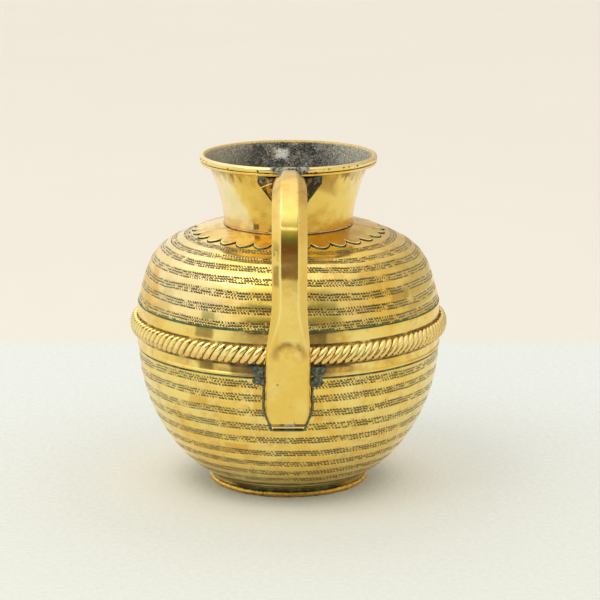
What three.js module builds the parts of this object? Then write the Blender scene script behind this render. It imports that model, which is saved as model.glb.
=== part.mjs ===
// A brass milk pot: raised bowl and shoulder joined under a belt, flared neck, strap handle.
// Millimetres, +Z up. The handle stands out towards -Y.
import * as THREE from 'three';

// Driving sizes. Radii are measured from the axis of the pot.
const fit = 0.3;                  // gap left between pieces that touch
const facets = 48;                // flats round the pot
const sheet = 1.3;                // thickness of the raised brass sheet

const footHeight = 9.8;           // table to the underside of the bowl
const footRollDiameter = 4.4;     // wire that the pot stands on
const footRollRadius = 56;        // axis to the middle of that wire
const footBandThickness = 2.6;
const bowlCornerRadius = 60;      // where the wall of the bowl turns under
const baseRadius = 46;            // flat of the base
const baseDrop = 1.4;             // how far the flat lies below the corner

const bowlHeight = 101.9;         // table to the belt
const beltHeight = 32;
const shoulderHeight = 55.6;      // belt to the foot of the neck
const neckHeight = 50.5;          // foot of the neck to the top of the rim

const bellyRadius = 109.5;        // face of the belt at its middle
const beltThickness = 1.3;
const beltTaper = 0.3;            // how far the belt draws in at its edges
const beltLip = 0.5;              // how far its lower lip stands out
const beltLipHeight = 2;
const ropeHeight = 13;
const ropeDepth = 5.2;            // how far the rope stands out from the belt
const shellLap = 14;              // length of each skirt under the belt

const neckRadius = 46.1;          // outside of the neck at its foot
const neckSpigot = 6;             // rim of the shoulder inside the neck
const neckFlare = 31;             // lean of the neck under the rim, in degrees
const mouthRadius = 59.7;         // opening inside the rim bead
const beadDiameter = 4;           // lip of the neck, rolled outwards
const beadSheet = 0.8;            // sheet rolled round the rim wire
const lipEnd = 215;               // where the rolled edge stops, in degrees
const rimHeight = 6.4;            // rolled lip and the strip soldered under it

const petals = 29;
const petalDepth = 4.1;
const collarReach = 23.3;         // foot of the neck to the tips of the petals
const collarThickness = 0.9;
const neckSolderWidth = 1.5;

const gripWidth = 24.5;
const gripFacet = 12;             // flat along the middle of the grip
const gripDepth = 7.5;
const gripReach = 118.5;          // axis to the back of the grip, where it is farthest out
const gripHeight = 185;           // height of that place
const gripShift = 1.3;            // how far the grip is off centre, to +X
const tongueWidth = 11;           // handle where it meets the rim
const tongueDepth = 5;
const tongueLength = 44;
const tongueDrop = 6.4;           // top of the rim to the back of the handle
const tongueFall = 1.5;           // how far the arch dips as it leaves the rim
const plateWidth = 31.7;          // lower end of the handle, on the bowl
const plateFacet = 25;
const plateDepth = 5.2;
const plateTipWidth = 21.8;
const plateBottom = 64;           // table to the lower end of the handle
const plateCorner = 14.6;         // height of the two cut corners
const plateLip = 6.8;             // back plate beyond the cover
const flareTop = 158;             // the strap widens between these two heights
const flareBottom = 112;
const coverSheet = 1.4;
const backPlate = 1.5;
const handleSteps = 30;

const gussetHalfWidth = 22;
const gussetSide = 7;             // height of its upright sides
const gussetTip = 7.5;            // foot of the neck to its point
const gussetReach = 80;           // axis to where it meets the handle
const gussetSeat = 8;             // half its width there
const gussetSheet = 1;

const rimSolderWidth = 8.2;
const rimSolderThickness = 0.6;
const lumpWidth = 6.8;
const lumpHeight = 6;
const lumpDepth = 3;
const bowlLumpHeight = 5.4;
const edgeSolderRadius = 0.8;

// Levels and radii that follow from the sizes above.
const beltBottom = bowlHeight;
const beltTop = beltBottom + beltHeight;
const beltMiddle = (beltBottom + beltTop) / 2;
const neckFoot = beltTop + shoulderHeight;
const potTop = neckFoot + neckHeight;
const beltInside = bellyRadius - beltThickness;
const skirtRadius = beltInside - fit;
const edgeRadius = bellyRadius - beltTaper;
const ropeOuter = bellyRadius + fit + ropeDepth;
const beadRadius = beadDiameter / 2;
const beadHollow = beadRadius - beadSheet;
const beadCentre = new THREE.Vector2(mouthRadius + beadRadius, potTop - beadRadius);
const rimOuter = beadCentre.x + beadRadius;
const rimBottom = potTop - rimHeight;
const lipRadius = bellyRadius + beltLip;
const shoulderFoot = neckFoot - collarThickness;

const brass = { color: 0xd9a93f, roughness: 0.28, metalness: 1 };
const polishedBrass = { color: 0xe6bf5c, roughness: 0.2, metalness: 1 };
const solder = { color: 0x7d7f78, roughness: 0.55, metalness: 0.8 };

const polar = (centre, radius, degrees) => {
  const angle = THREE.MathUtils.degToRad(degrees);
  return new THREE.Vector2(centre.x + radius * Math.cos(angle), centre.y + radius * Math.sin(angle));
};
const point = (radius, height) => new THREE.Vector2(radius, height);

function arc(centre, radius, from, to, steps) {
  const points = [];
  for (let i = 0; i <= steps; i++) {
    points.push(polar(centre, radius, from + (to - from) * i / steps));
  }
  return points;
}

function flatSided(centre, radius, sides) {
  const corner = radius / Math.cos(Math.PI / sides);
  const half = 180 / sides;
  return arc(centre, corner, half, half + 360, sides);
}

// Points beside a curve, moved square to it.
function beside(curve, distance, steps, first = 0, last = 1) {
  const points = [];
  for (let i = 0; i <= steps; i++) {
    const t = first + (last - first) * i / steps;
    const along = curve.getTangent(t);
    points.push(curve.getPoint(t).add(point(-along.y, along.x).multiplyScalar(distance)));
  }
  return points;
}

// Where a falling or rising curve passes a given radius or height.
function crossing(curve, axis, value) {
  let low = 0;
  let high = 1;
  const rising = curve.getPoint(1)[axis] > curve.getPoint(0)[axis];
  for (let i = 0; i < 40; i++) {
    const middle = (low + high) / 2;
    if ((curve.getPoint(middle)[axis] < value) === rising) low = middle;
    else high = middle;
  }
  return curve.getPoint((low + high) / 2);
}

// A turned piece. The outline runs anticlockwise, radius to the right and height up.
function turned(outline) {
  const closed = outline[0].x === 0 ? outline : [...outline, outline[0]];
  const geometry = new THREE.LatheGeometry(closed, facets);
  geometry.rotateX(Math.PI / 2);
  return geometry;
}

function signedVolume(positions, index) {
  const [a, b, c] = [new THREE.Vector3(), new THREE.Vector3(), new THREE.Vector3()];
  let sum = 0;
  for (let i = 0; i < index.length; i += 3) {
    a.fromArray(positions, 3 * index[i]);
    b.fromArray(positions, 3 * index[i + 1]);
    c.fromArray(positions, 3 * index[i + 2]);
    sum += a.dot(b.cross(c));
  }
  return sum / 6;
}

// Joins thin sections, each an outer and an inner line of points, into one closed wall.
function wall(sections, endless = false) {
  const rings = sections.map(({ outer, inner }) => [...outer, ...[...inner].reverse()]);
  const size = rings[0].length;
  const positions = rings.flat().flatMap((p) => p.toArray());
  const index = [];
  const quad = (a, b, c, d) => index.push(a, b, c, a, c, d);
  const joins = endless ? rings.length : rings.length - 1;
  for (let i = 0; i < joins; i++) {
    const here = i * size;
    const next = ((i + 1) % rings.length) * size;
    for (let j = 0; j < size; j++) {
      const k = (j + 1) % size;
      quad(here + j, here + k, next + k, next + j);
    }
  }
  if (!endless) {
    const last = (rings.length - 1) * size;
    for (let j = 0; j < size / 2 - 1; j++) {
      const [a, b, c, d] = [j, size - 1 - j, size - 2 - j, j + 1];
      quad(a, b, c, d);
      quad(last + a, last + d, last + c, last + b);
    }
  }
  if (signedVolume(positions, index) < 0) index.reverse();
  const geometry = new THREE.BufferGeometry();
  geometry.setAttribute('position', new THREE.Float32BufferAttribute(positions, 3));
  geometry.setIndex(index);
  return geometry;
}

// Curves of the pot, as radius and height.
const bowlDrop = beltBottom - footHeight;
const bowlCurve = new THREE.CubicBezierCurve(
  point(bowlCornerRadius, footHeight),
  point(bowlCornerRadius + 5.6, footHeight),
  point(edgeRadius - 2.2, beltBottom - 0.672 * bowlDrop),
  point(edgeRadius, beltBottom - fit),
);
const shoulderSpan = edgeRadius - neckRadius;
const shoulderRise = shoulderFoot - beltTop;
const shoulderCurve = new THREE.CubicBezierCurve(
  point(edgeRadius, beltTop + fit),
  point(edgeRadius - 0.139 * shoulderSpan, beltTop + 0.574 * shoulderRise),
  point(neckRadius + 0.892 * shoulderSpan, shoulderFoot - 0.181 * shoulderRise),
  point(neckRadius, shoulderFoot),
);

function neckCurve(inset, edge) {
  const lean = 180 - neckFlare;
  const top = polar(beadCentre, edge, lean);
  const below = polar(top, 0.34 * neckHeight, lean + 90);
  const foot = point(neckRadius - inset, shoulderFoot + 2 * fit);
  return new THREE.CubicBezierCurve(foot, point(foot.x + 1.2, foot.y + 0.29 * neckHeight), below, top);
}
const neckOutside = neckCurve(0, beadHollow);
const neckInside = neckCurve(sheet, beadRadius);

const bowlRadiusAt = (height) => crossing(bowlCurve, 'y', height).x;
const shoulderHeightAt = (radius) => crossing(shoulderCurve, 'x', radius).y;
const neckRadiusAt = (height) => crossing(neckOutside, 'y', height).x;
const baseHeightAt = (radius) => {
  const share = (radius - baseRadius) / (bowlCornerRadius - baseRadius);
  return footHeight - baseDrop * (1 - Math.min(Math.max(share, 0), 1));
};

// Turned pieces.
function lowerBowl() {
  const skirtTop = beltBottom + shellLap;
  return turned([
    point(0, footHeight - baseDrop),
    point(baseRadius, footHeight - baseDrop),
    ...bowlCurve.getPoints(12),
    point(skirtRadius, beltBottom - fit),
    point(skirtRadius, skirtTop),
    point(skirtRadius - sheet, skirtTop),
    point(skirtRadius - sheet, beltBottom + sheet),
    ...beside(bowlCurve, sheet, 9, 0.97, 0),
    point(baseRadius, footHeight - baseDrop + sheet),
    point(0, footHeight - baseDrop + sheet),
  ]);
}

function upperShell() {
  const skirtFoot = beltTop - shellLap;
  const spigot = neckRadius - sheet - fit;
  return turned([
    point(skirtRadius, skirtFoot),
    point(skirtRadius, beltTop + fit),
    ...shoulderCurve.getPoints(10),
    point(spigot, shoulderFoot),
    point(spigot, shoulderFoot + neckSpigot),
    point(spigot - sheet, shoulderFoot + neckSpigot),
    ...beside(shoulderCurve, sheet, 8, 1, 0.05),
    point(skirtRadius - sheet, beltTop - sheet),
    point(skirtRadius - sheet, skirtFoot),
  ]);
}

function beltSeamSolder() {
  const low = beltBottom + shellLap + fit;
  const high = beltTop - shellLap - fit;
  return turned([
    point(skirtRadius - sheet, low),
    point(skirtRadius, low),
    point(skirtRadius, high),
    point(skirtRadius - sheet, high),
  ]);
}

function beltBand() {
  const bulge = beltHeight / 4;
  return turned([
    point(beltInside, beltBottom),
    point(bellyRadius, beltBottom),
    point(lipRadius, beltBottom + beltLipHeight / 4),
    point(lipRadius, beltBottom + beltLipHeight * 3 / 4),
    point(edgeRadius, beltBottom + beltLipHeight * 5 / 4),
    point(bellyRadius, beltMiddle - bulge),
    point(bellyRadius, beltMiddle + bulge),
    point(edgeRadius, beltTop),
    point(beltInside, beltTop),
  ]);
}

function ropeMoulding() {
  const back = bellyRadius + fit;
  const outline = [];
  const steps = 7;
  for (let i = 0; i <= steps; i++) {
    const turn = Math.PI * i / steps;
    outline.push(point(back + ropeDepth * Math.sin(turn) ** 0.8, beltMiddle - ropeHeight / 2 * Math.cos(turn)));
  }
  return turned(outline);
}

function neck() {
  const lean = 180 - neckFlare;
  return turned([
    ...neckOutside.getPoints(6),
    ...arc(beadCentre, beadHollow, lean, lipEnd - 360, 8).slice(1),
    ...arc(beadCentre, beadRadius, lipEnd - 360, lean, 10),
    ...neckInside.getPoints(6).reverse().slice(1),
  ]);
}

function rimWire() {
  return turned(flatSided(beadCentre, beadHollow - fit, 6));
}

// Half-round strip soldered round the neck, close under the rolled lip.
function rimStrip() {
  const top = potTop - beadDiameter - fit;
  const outer = rimOuter - 0.4;
  const edge = (top - rimBottom) / 3;
  return turned([
    point(neckRadiusAt(rimBottom) + fit, rimBottom),
    point(outer - edge, rimBottom),
    point(outer, rimBottom + edge),
    point(outer, top - edge),
    point(outer - edge, top),
    point(neckRadiusAt(top) + fit, top),
  ]);
}

function neckSeamSolder() {
  const inner = neckRadius + fit;
  const low = shoulderFoot + fit + collarThickness + fit;
  return turned([
    point(inner, low),
    point(inner + neckSolderWidth, low),
    point(inner + neckSolderWidth * 0.8, low + neckSolderWidth * 0.7),
    point(inner + neckSolderWidth * 0.3, low + neckSolderWidth),
  ]);
}

function footBand() {
  const outer = footRollRadius + footRollDiameter / 2 - 0.4;
  const inner = outer - footBandThickness;
  const low = footRollDiameter + fit;
  const high = (radius) => baseHeightAt(radius) - fit;
  return turned([
    point(inner, low),
    point(outer - 0.6, low),
    point(outer - 1.3, (low + high(outer)) / 2),
    point(outer - 0.9, high(outer) - 2),
    point(outer, high(outer) - 1.5),
    point(outer, high(outer)),
    point(inner, high(inner)),
  ]);
}

function footRoll() {
  return turned(flatSided(point(footRollRadius, footRollDiameter / 2), footRollDiameter / 2, 12));
}

function footSolder() {
  const outer = footRollRadius + footRollDiameter / 2 - 0.4 - footBandThickness - fit;
  const under = (radius) => baseHeightAt(radius) - fit;
  return turned([
    point(outer - 2, under(outer - 2)),
    point(outer, under(outer) - 2),
    point(outer, under(outer)),
  ]);
}

// Flange of the neck, lying on the shoulder, with its edge cut in petals.
function scallopedCollar() {
  const inner = neckRadius + fit;
  const tip = neckRadius + collarReach;
  const stepsPerPetal = 4;
  const sections = [];
  for (let i = 0; i < petals * stepsPerPetal; i++) {
    const share = (i % stepsPerPetal) / stepsPerPetal;
    const edge = tip - petalDepth * (1 - Math.sin(Math.PI * share) ** 0.6);
    const angle = 2 * Math.PI * i / (petals * stepsPerPetal);
    const line = (lift) => [inner, (inner + edge) / 2, edge].map((radius) => new THREE.Vector3(
      radius * Math.sin(angle), -radius * Math.cos(angle), shoulderHeightAt(radius) + lift));
    sections.push({ outer: line(fit + collarThickness), inner: line(fit) });
  }
  return wall(sections, true);
}

// Line of the back of the handle, as reach from the axis and height.
// Its lower end lies along the bowl: the least lean that clears it, from the rope down.
const ropeClear = point(ropeOuter + fit, beltMiddle);
const plateLean = (() => {
  let lean = Infinity;
  for (let height = plateBottom; height < beltBottom; height += 1) {
    const outside = bowlRadiusAt(height) + fit;
    lean = Math.min(lean, (ropeClear.x - outside) / (ropeClear.y - height));
  }
  return lean;
})();
const onPlateLine = (height) => point(ropeClear.x + plateLean * (height - ropeClear.y), height);
const gripFoot = onPlateLine(beltMiddle + ropeHeight / 2);
const handleLine = new THREE.CurvePath();
const rimSeat = point(rimOuter + fit, potTop - tongueDrop);
const gripOut = point(gripReach, gripHeight);
const gripDrop = gripHeight - gripFoot.y;
const archCurve = new THREE.CubicBezierCurve(
  rimSeat,
  point(rimSeat.x + 0.75 * (gripOut.x - rimSeat.x), rimSeat.y - tongueFall),
  point(gripOut.x, gripOut.y + 0.72 * (rimSeat.y - gripOut.y)),
  gripOut,
);
handleLine.add(archCurve);
handleLine.add(new THREE.CubicBezierCurve(
  gripOut,
  point(gripOut.x, gripOut.y - 0.35 * gripDrop),
  onPlateLine(gripFoot.y + 0.3 * gripDrop),
  gripFoot,
));
handleLine.add(new THREE.LineCurve(gripFoot, onPlateLine(plateBottom)));
const handleLength = handleLine.getLength();

// Width, flat and depth of the handle at a distance along that line.
function handleSection(distance) {
  const place = handleLine.getPointAt(Math.min(distance / handleLength, 1));
  const tongue = Math.sqrt(1 - (1 - Math.min(distance / tongueLength, 1)) ** 2);
  const flare = 1 - THREE.MathUtils.smoothstep(place.y, flareBottom, flareTop);
  const corner = 1 - Math.min((place.y - plateBottom) / plateCorner, 1);
  const strap = THREE.MathUtils.lerp(gripWidth, plateWidth, flare);
  const narrowed = THREE.MathUtils.lerp(tongueWidth, strap, tongue);
  const width = THREE.MathUtils.lerp(narrowed, plateTipWidth, corner);
  const flat = THREE.MathUtils.lerp(gripFacet, plateFacet, flare);
  const depth = THREE.MathUtils.lerp(gripDepth, plateDepth, flare);
  return {
    place,
    width,
    flat: flat * width / strap,
    depth: THREE.MathUtils.lerp(tongueDepth, depth, tongue),
  };
}

// Maps a place across the handle (sideways, and out from its back) into the model.
function handleFrame(distance) {
  const share = Math.min(distance / handleLength, 1);
  const place = handleLine.getPointAt(share);
  const along = handleLine.getTangentAt(share);
  const shift = gripShift * THREE.MathUtils.smoothstep(place.y, flareBottom, flareTop);
  return ([side, out]) => (
    new THREE.Vector3(shift + side, -(place.x - out * along.y), place.y + out * along.x));
}

function strap(length, section) {
  const sections = [];
  for (let i = 0; i <= handleSteps; i++) {
    const distance = length * i / handleSteps;
    const { outer, inner } = section(handleSection(distance));
    const toModel = handleFrame(distance);
    sections.push({ outer: outer.map(toModel), inner: inner.map(toModel) });
  }
  return wall(sections);
}

function handleCover() {
  const seat = backPlate + fit;
  return strap(handleLength - plateLip, ({ width, flat, depth }) => {
    const edge = width / 2 - 1.4 * coverSheet;
    const crease = flat / 2 - 0.4 * coverSheet;
    const under = depth - coverSheet;
    return {
      outer: [[-width / 2, seat], [-flat / 2, depth], [flat / 2, depth], [width / 2, seat]],
      inner: [[-edge, seat], [-crease, under], [crease, under], [edge, seat]],
    };
  });
}

function handleBackPlate() {
  return strap(handleLength, ({ width }) => {
    const half = width / 2 - fit;
    return { outer: [[-half, backPlate], [half, backPlate]], inner: [[-half, 0], [half, 0]] };
  });
}

// Folded bracket under the rim: its pointed outline is on the neck, its mouth under the handle.
function handleGusset() {
  const top = rimBottom - 2 * fit;
  const tip = neckFoot + gussetTip;
  const upright = 0.8;
  const steps = 10;
  const sections = [];
  const ends = (share, inset) => {
    const side = Math.min(Math.abs(share) / upright, 1);
    const height = Math.abs(share) > upright
      ? top - gussetSide * (1 - Math.abs(share)) / (1 - upright)
      : tip + (top - gussetSide - tip) * side + inset * 1.6 * (1 - side);
    const across = gripShift + Math.sign(share) * side * (gussetHalfWidth - inset);
    const radius = neckRadiusAt(height) + fit;
    const atNeck = new THREE.Vector3(across, -Math.sqrt(radius ** 2 - across ** 2), height);
    const reach = THREE.MathUtils.lerp(gussetReach - inset * 1.6, rimOuter + 1, Math.abs(share));
    const underHandle = crossing(archCurve, 'x', reach).y - 1.5 * fit;
    const seat = gripShift + Math.sign(share) * side * (gussetSeat - inset);
    const atHandle = new THREE.Vector3(seat, -reach, underHandle);
    return [atNeck, atNeck.clone().lerp(atHandle, 0.5), atHandle];
  };
  for (let i = -steps; i <= steps; i++) {
    sections.push({ outer: ends(i / steps, 0), inner: ends(i / steps, gussetSheet) });
  }
  return wall(sections);
}

// Solder run over the rim between two places beside the handle, from an angle round the lip
// down to a height.
function rimSolder(fromSide, toSide, angle, lowest) {
  const steps = 6;
  const sections = [];
  for (let i = 0; i <= steps; i++) {
    const round = (gripShift + THREE.MathUtils.lerp(fromSide, toSide, i / steps)) / rimOuter;
    const line = (lift) => {
      const over = arc(beadCentre, beadRadius + fit + lift, 110, angle, 5);
      return [...over, point(over.at(-1).x, lowest)].map((p) => (
        new THREE.Vector3(p.x * Math.sin(round), -p.x * Math.cos(round), p.y)));
    };
    sections.push({ outer: line(rimSolderThickness), inner: line(0) });
  }
  return wall(sections);
}

// A blob of solder lying on the wall of the pot beside the handle.
function solderLump(side, wallRadius, height, tall) {
  const geometry = new THREE.SphereGeometry(0.5, 10, 6);
  geometry.scale(lumpWidth, lumpDepth, tall);
  const across = side * (plateWidth / 2 + fit + lumpWidth / 2);
  const round = Math.asin(across / wallRadius);
  geometry.rotateZ(round);
  const reach = wallRadius + fit + lumpDepth / 2;
  geometry.translate(reach * Math.sin(round), -reach * Math.cos(round), height);
  return geometry;
}

// Bead of solder round the lower end of the handle, on the bowl.
function handleEdgeSolder() {
  const clear = edgeSolderRadius + fit;
  const top = bowlLumpAt - bowlLumpHeight / 2 - clear;
  const cornerTop = plateBottom + plateCorner;
  const low = plateBottom - clear;
  const half = plateWidth / 2 + clear;
  const halfTip = plateTipWidth / 2 + clear / 2;
  const side = [[half, top], [half, (top + cornerTop) / 2], [half, cornerTop],
    [(half + halfTip) / 2, (cornerTop + low) / 2], [halfTip, low + clear / 2], [halfTip - clear, low]];
  const route = [...side.map(([x, z]) => [-x, z]), [0, low], ...side.reverse()];
  const onBowl = route.map(([x, z]) => (
    new THREE.Vector3(x, -Math.sqrt((bowlRadiusAt(z) + clear) ** 2 - x ** 2), z)));
  const section = new THREE.Shape(flatSided(point(0, 0), edgeSolderRadius, 6).slice(0, -1));
  return new THREE.ExtrudeGeometry(section, {
    extrudePath: new THREE.CatmullRomCurve3(onBowl, false, 'centripetal'),
    steps: 36,
  });
}

const tongueSide = tongueWidth / 2 + fit;
const rimSide = tongueSide + rimSolderWidth;
const beltLumpAt = beltBottom + beltLipHeight * 1.5 + lumpHeight / 2;
const bowlLumpAt = beltBottom - 0.6;

const pieces = [
  ['lower_bowl', lowerBowl(), brass],
  ['upper_shell', upperShell(), brass],
  ['belt_seam_solder', beltSeamSolder(), solder],
  ['belt_band', beltBand(), polishedBrass],
  ['rope_moulding', ropeMoulding(), polishedBrass],
  ['neck', neck(), polishedBrass],
  ['rim_wire', rimWire(), brass],
  ['rim_strip', rimStrip(), polishedBrass],
  ['neck_seam_solder', neckSeamSolder(), solder],
  ['scalloped_collar', scallopedCollar(), brass],
  ['foot_band', footBand(), brass],
  ['foot_roll', footRoll(), polishedBrass],
  ['foot_solder', footSolder(), solder],
  ['handle_cover', handleCover(), polishedBrass],
  ['handle_back_plate', handleBackPlate(), brass],
  ['handle_gusset', handleGusset(), brass],
  ['rim_solder_left', rimSolder(-rimSide, -tongueSide, 0, rimBottom), solder],
  ['rim_solder_right', rimSolder(tongueSide, rimSide, 0, rimBottom), solder],
  ['rim_solder_top', rimSolder(fit - tongueSide, tongueSide - fit, 50, potTop - fit), solder],
  ['belt_solder_left', solderLump(-1, bellyRadius, beltLumpAt, lumpHeight), solder],
  ['belt_solder_right', solderLump(1, bellyRadius, beltLumpAt, lumpHeight), solder],
  ['bowl_solder_left', solderLump(-1, lipRadius, bowlLumpAt, bowlLumpHeight), solder],
  ['bowl_solder_right', solderLump(1, lipRadius, bowlLumpAt, bowlLumpHeight), solder],
  ['handle_edge_solder', handleEdgeSolder(), solder],
];

const pot = new THREE.Group();
for (const [name, geometry, finish] of pieces) {
  const mesh = new THREE.Mesh(geometry, new THREE.MeshStandardMaterial(finish));
  mesh.name = name;
  pot.add(mesh);
}

// The origin is under the middle of the whole, so the pot stands back from its handle.
const handleBox = new THREE.Box3().setFromObject(pot.getObjectByName('handle_cover'));
pot.position.y = (-handleBox.min.y - ropeOuter) / 2;

const milkPot = new THREE.Group();
milkPot.add(pot);

export default milkPot;
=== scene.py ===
import math

import bmesh
import bpy
import numpy as np
from mathutils import Matrix, Vector, noise


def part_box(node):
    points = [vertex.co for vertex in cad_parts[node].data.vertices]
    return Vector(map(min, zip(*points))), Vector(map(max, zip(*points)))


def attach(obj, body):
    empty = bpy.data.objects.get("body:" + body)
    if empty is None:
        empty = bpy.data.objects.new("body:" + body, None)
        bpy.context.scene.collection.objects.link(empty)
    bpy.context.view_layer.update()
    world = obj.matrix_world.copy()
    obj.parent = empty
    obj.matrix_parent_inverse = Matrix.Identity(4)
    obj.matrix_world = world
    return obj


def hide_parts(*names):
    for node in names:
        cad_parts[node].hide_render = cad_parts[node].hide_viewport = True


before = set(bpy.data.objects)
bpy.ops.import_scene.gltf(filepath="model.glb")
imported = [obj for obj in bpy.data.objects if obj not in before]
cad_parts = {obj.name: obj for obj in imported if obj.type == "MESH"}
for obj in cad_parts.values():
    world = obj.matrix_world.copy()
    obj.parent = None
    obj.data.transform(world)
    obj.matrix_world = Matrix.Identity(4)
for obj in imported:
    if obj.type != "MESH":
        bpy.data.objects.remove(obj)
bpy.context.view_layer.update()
neckLow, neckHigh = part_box("neck")
axisY = (neckLow.y + neckHigh.y) / 2  # the pot stands back from its handle
handleX = 0.0013  # and the handle a little to the right of the pot's axis
rng = np.random.default_rng(17)
print("frame loaded,", len(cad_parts), "nodes")


def addObject(name, data):
    made = bpy.data.objects.new(name, data)
    bpy.context.scene.collection.objects.link(made)
    return made


# camera, from the photograph's ellipses
camera = {"focal": 143.28, "sensor": 36, "distance": 1.693, "height": 0.518, "aside": 0.0083, "pitch": 12.84,
          "near": 0.05, "far": 60}


def placeCamera():
    data = bpy.data.cameras.new("camera")
    data.lens, data.sensor_width = camera["focal"], camera["sensor"]
    data.clip_start, data.clip_end = camera["near"], camera["far"]
    eye = addObject("camera", data)
    eye.location = (camera["aside"], axisY - camera["distance"], camera["height"])
    eye.rotation_euler = (math.radians(90 - camera["pitch"]), 0, 0)
    bpy.context.scene.camera = eye


placeCamera()


# sums on sockets, for the finishes and the rope
class Value:
    def __init__(self, nodes, socket):
        self.nodes, self.socket = nodes, socket

    def __add__(self, other):
        return self.nodes.calc("ADD", self, other)

    __radd__ = __add__

    def __mul__(self, other):
        return self.nodes.calc("MULTIPLY", self, other)

    __rmul__ = __mul__

    def __sub__(self, other):
        return self.nodes.calc("SUBTRACT", self, other)

    def __rsub__(self, other):
        return self.nodes.calc("SUBTRACT", other, self)

    def __truediv__(self, other):
        return self.nodes.calc("DIVIDE", self, other)

    def __neg__(self):
        return self.nodes.calc("MULTIPLY", self, -1)

    def __abs__(self):
        return self.nodes.calc("ABSOLUTE", self)

    def orMore(self, other):
        return self.nodes.calc("MAXIMUM", self, other)

    def rise(self, low, high):  # 0 below low, 1 above high; falls where low is above high
        settings = {"interpolation_type": "SMOOTHSTEP"}
        return self.nodes.node("ShaderNodeMapRange", settings, {0: self, 1: low, 2: high})

    def squared(self):
        return self.nodes.calc("MULTIPLY", self, self)

    def zigzag(self):  # runs between -1 and 1, once for each whole number
        return self.nodes.calc("PINGPONG", self, 0.5) * 4 - 1


class Nodes:
    def __init__(self, tree):
        self.tree = tree

    def node(self, kind, settings=None, values=None, out=0):
        made = self.tree.nodes.new(kind)
        for key, value in (settings or {}).items():
            setattr(made, key, value)
        for key, value in (values or {}).items():
            socket = made.inputs[key]
            if isinstance(value, Value):
                self.tree.links.new(value.socket, socket)
            elif socket.type == "RGBA" and len(value) == 3:
                socket.default_value = (*value, 1)
            else:
                socket.default_value = value
        return Value(self, made.outputs[out] if made.outputs else None)

    def outputs(self, kind, values=None):
        return [Value(self, socket) for socket in self.node(kind, None, values).socket.node.outputs]

    def calc(self, operation, *values):
        return self.node("ShaderNodeMath", {"operation": operation}, dict(enumerate(values)))


class Finish(Nodes):
    def __init__(self, name, world=False):
        self.made = bpy.data.worlds.new(name) if world else bpy.data.materials.new(name)
        self.made.use_nodes = True
        super().__init__(self.made.node_tree)
        self.tree.nodes.clear()
        self.colour = self.spot = None

    def place(self):  # metres from the foot of the pot's axis
        if self.spot is None:
            here = self.node("ShaderNodeTexCoord", out="Object")
            self.spot = self.node("ShaderNodeMapping", None, {"Vector": here, "Location": (0, -axisY, 0)})
        return self.spot

    def split(self, vector):
        return self.outputs("ShaderNodeSeparateXYZ", {0: vector})

    def cloud(self, size, detail=3, rough=0.5, spot=None, twist=0):  # size of its blots in metres
        values = {"Vector": spot or self.place(), "Scale": 1 / size, "Detail": detail,
                  "Roughness": rough, "Distortion": twist}
        return self.node("ShaderNodeTexNoise", None, values)

    def cells(self, size):
        return self.node("ShaderNodeTexVoronoi", None, {"Vector": self.place(), "Scale": 1 / size})

    def stretch(self, scale):
        return self.node("ShaderNodeMapping", None, {"Vector": self.place(), "Scale": scale})

    def read(self, name):
        return self.node("ShaderNodeAttribute", {"attribute_name": name}, out="Fac")

    def ray(self, kind):
        return self.node("ShaderNodeLightPath", out=f"Is {kind} Ray")

    def blend(self, share, first, second):  # a colour is a socket, three numbers or the name of a tone
        first, second = (tones[c] if isinstance(c, str) else c for c in (first, second))
        return self.node("ShaderNodeMix", {"data_type": "RGBA"}, {0: share, 6: first, 7: second}, out=2)

    def lay(self, share, tone):  # a coat over the colour so far
        self.colour = self.blend(share, self.colour, tone)

    def bump(self, height, depth, normal=None):  # depth in metres
        values = {"Height": height, "Distance": depth}
        if normal:
            values["Normal"] = normal
        return self.node("ShaderNodeBump", None, values)

    def metal(self, rough, metal, normal):
        values = {"Base Color": self.colour, "Roughness": rough, "Metallic": metal, "Normal": normal}
        surface = self.node("ShaderNodeBsdfPrincipled", None, values)
        self.node("ShaderNodeOutputMaterial", None, {"Surface": surface})
        return self.made


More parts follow.
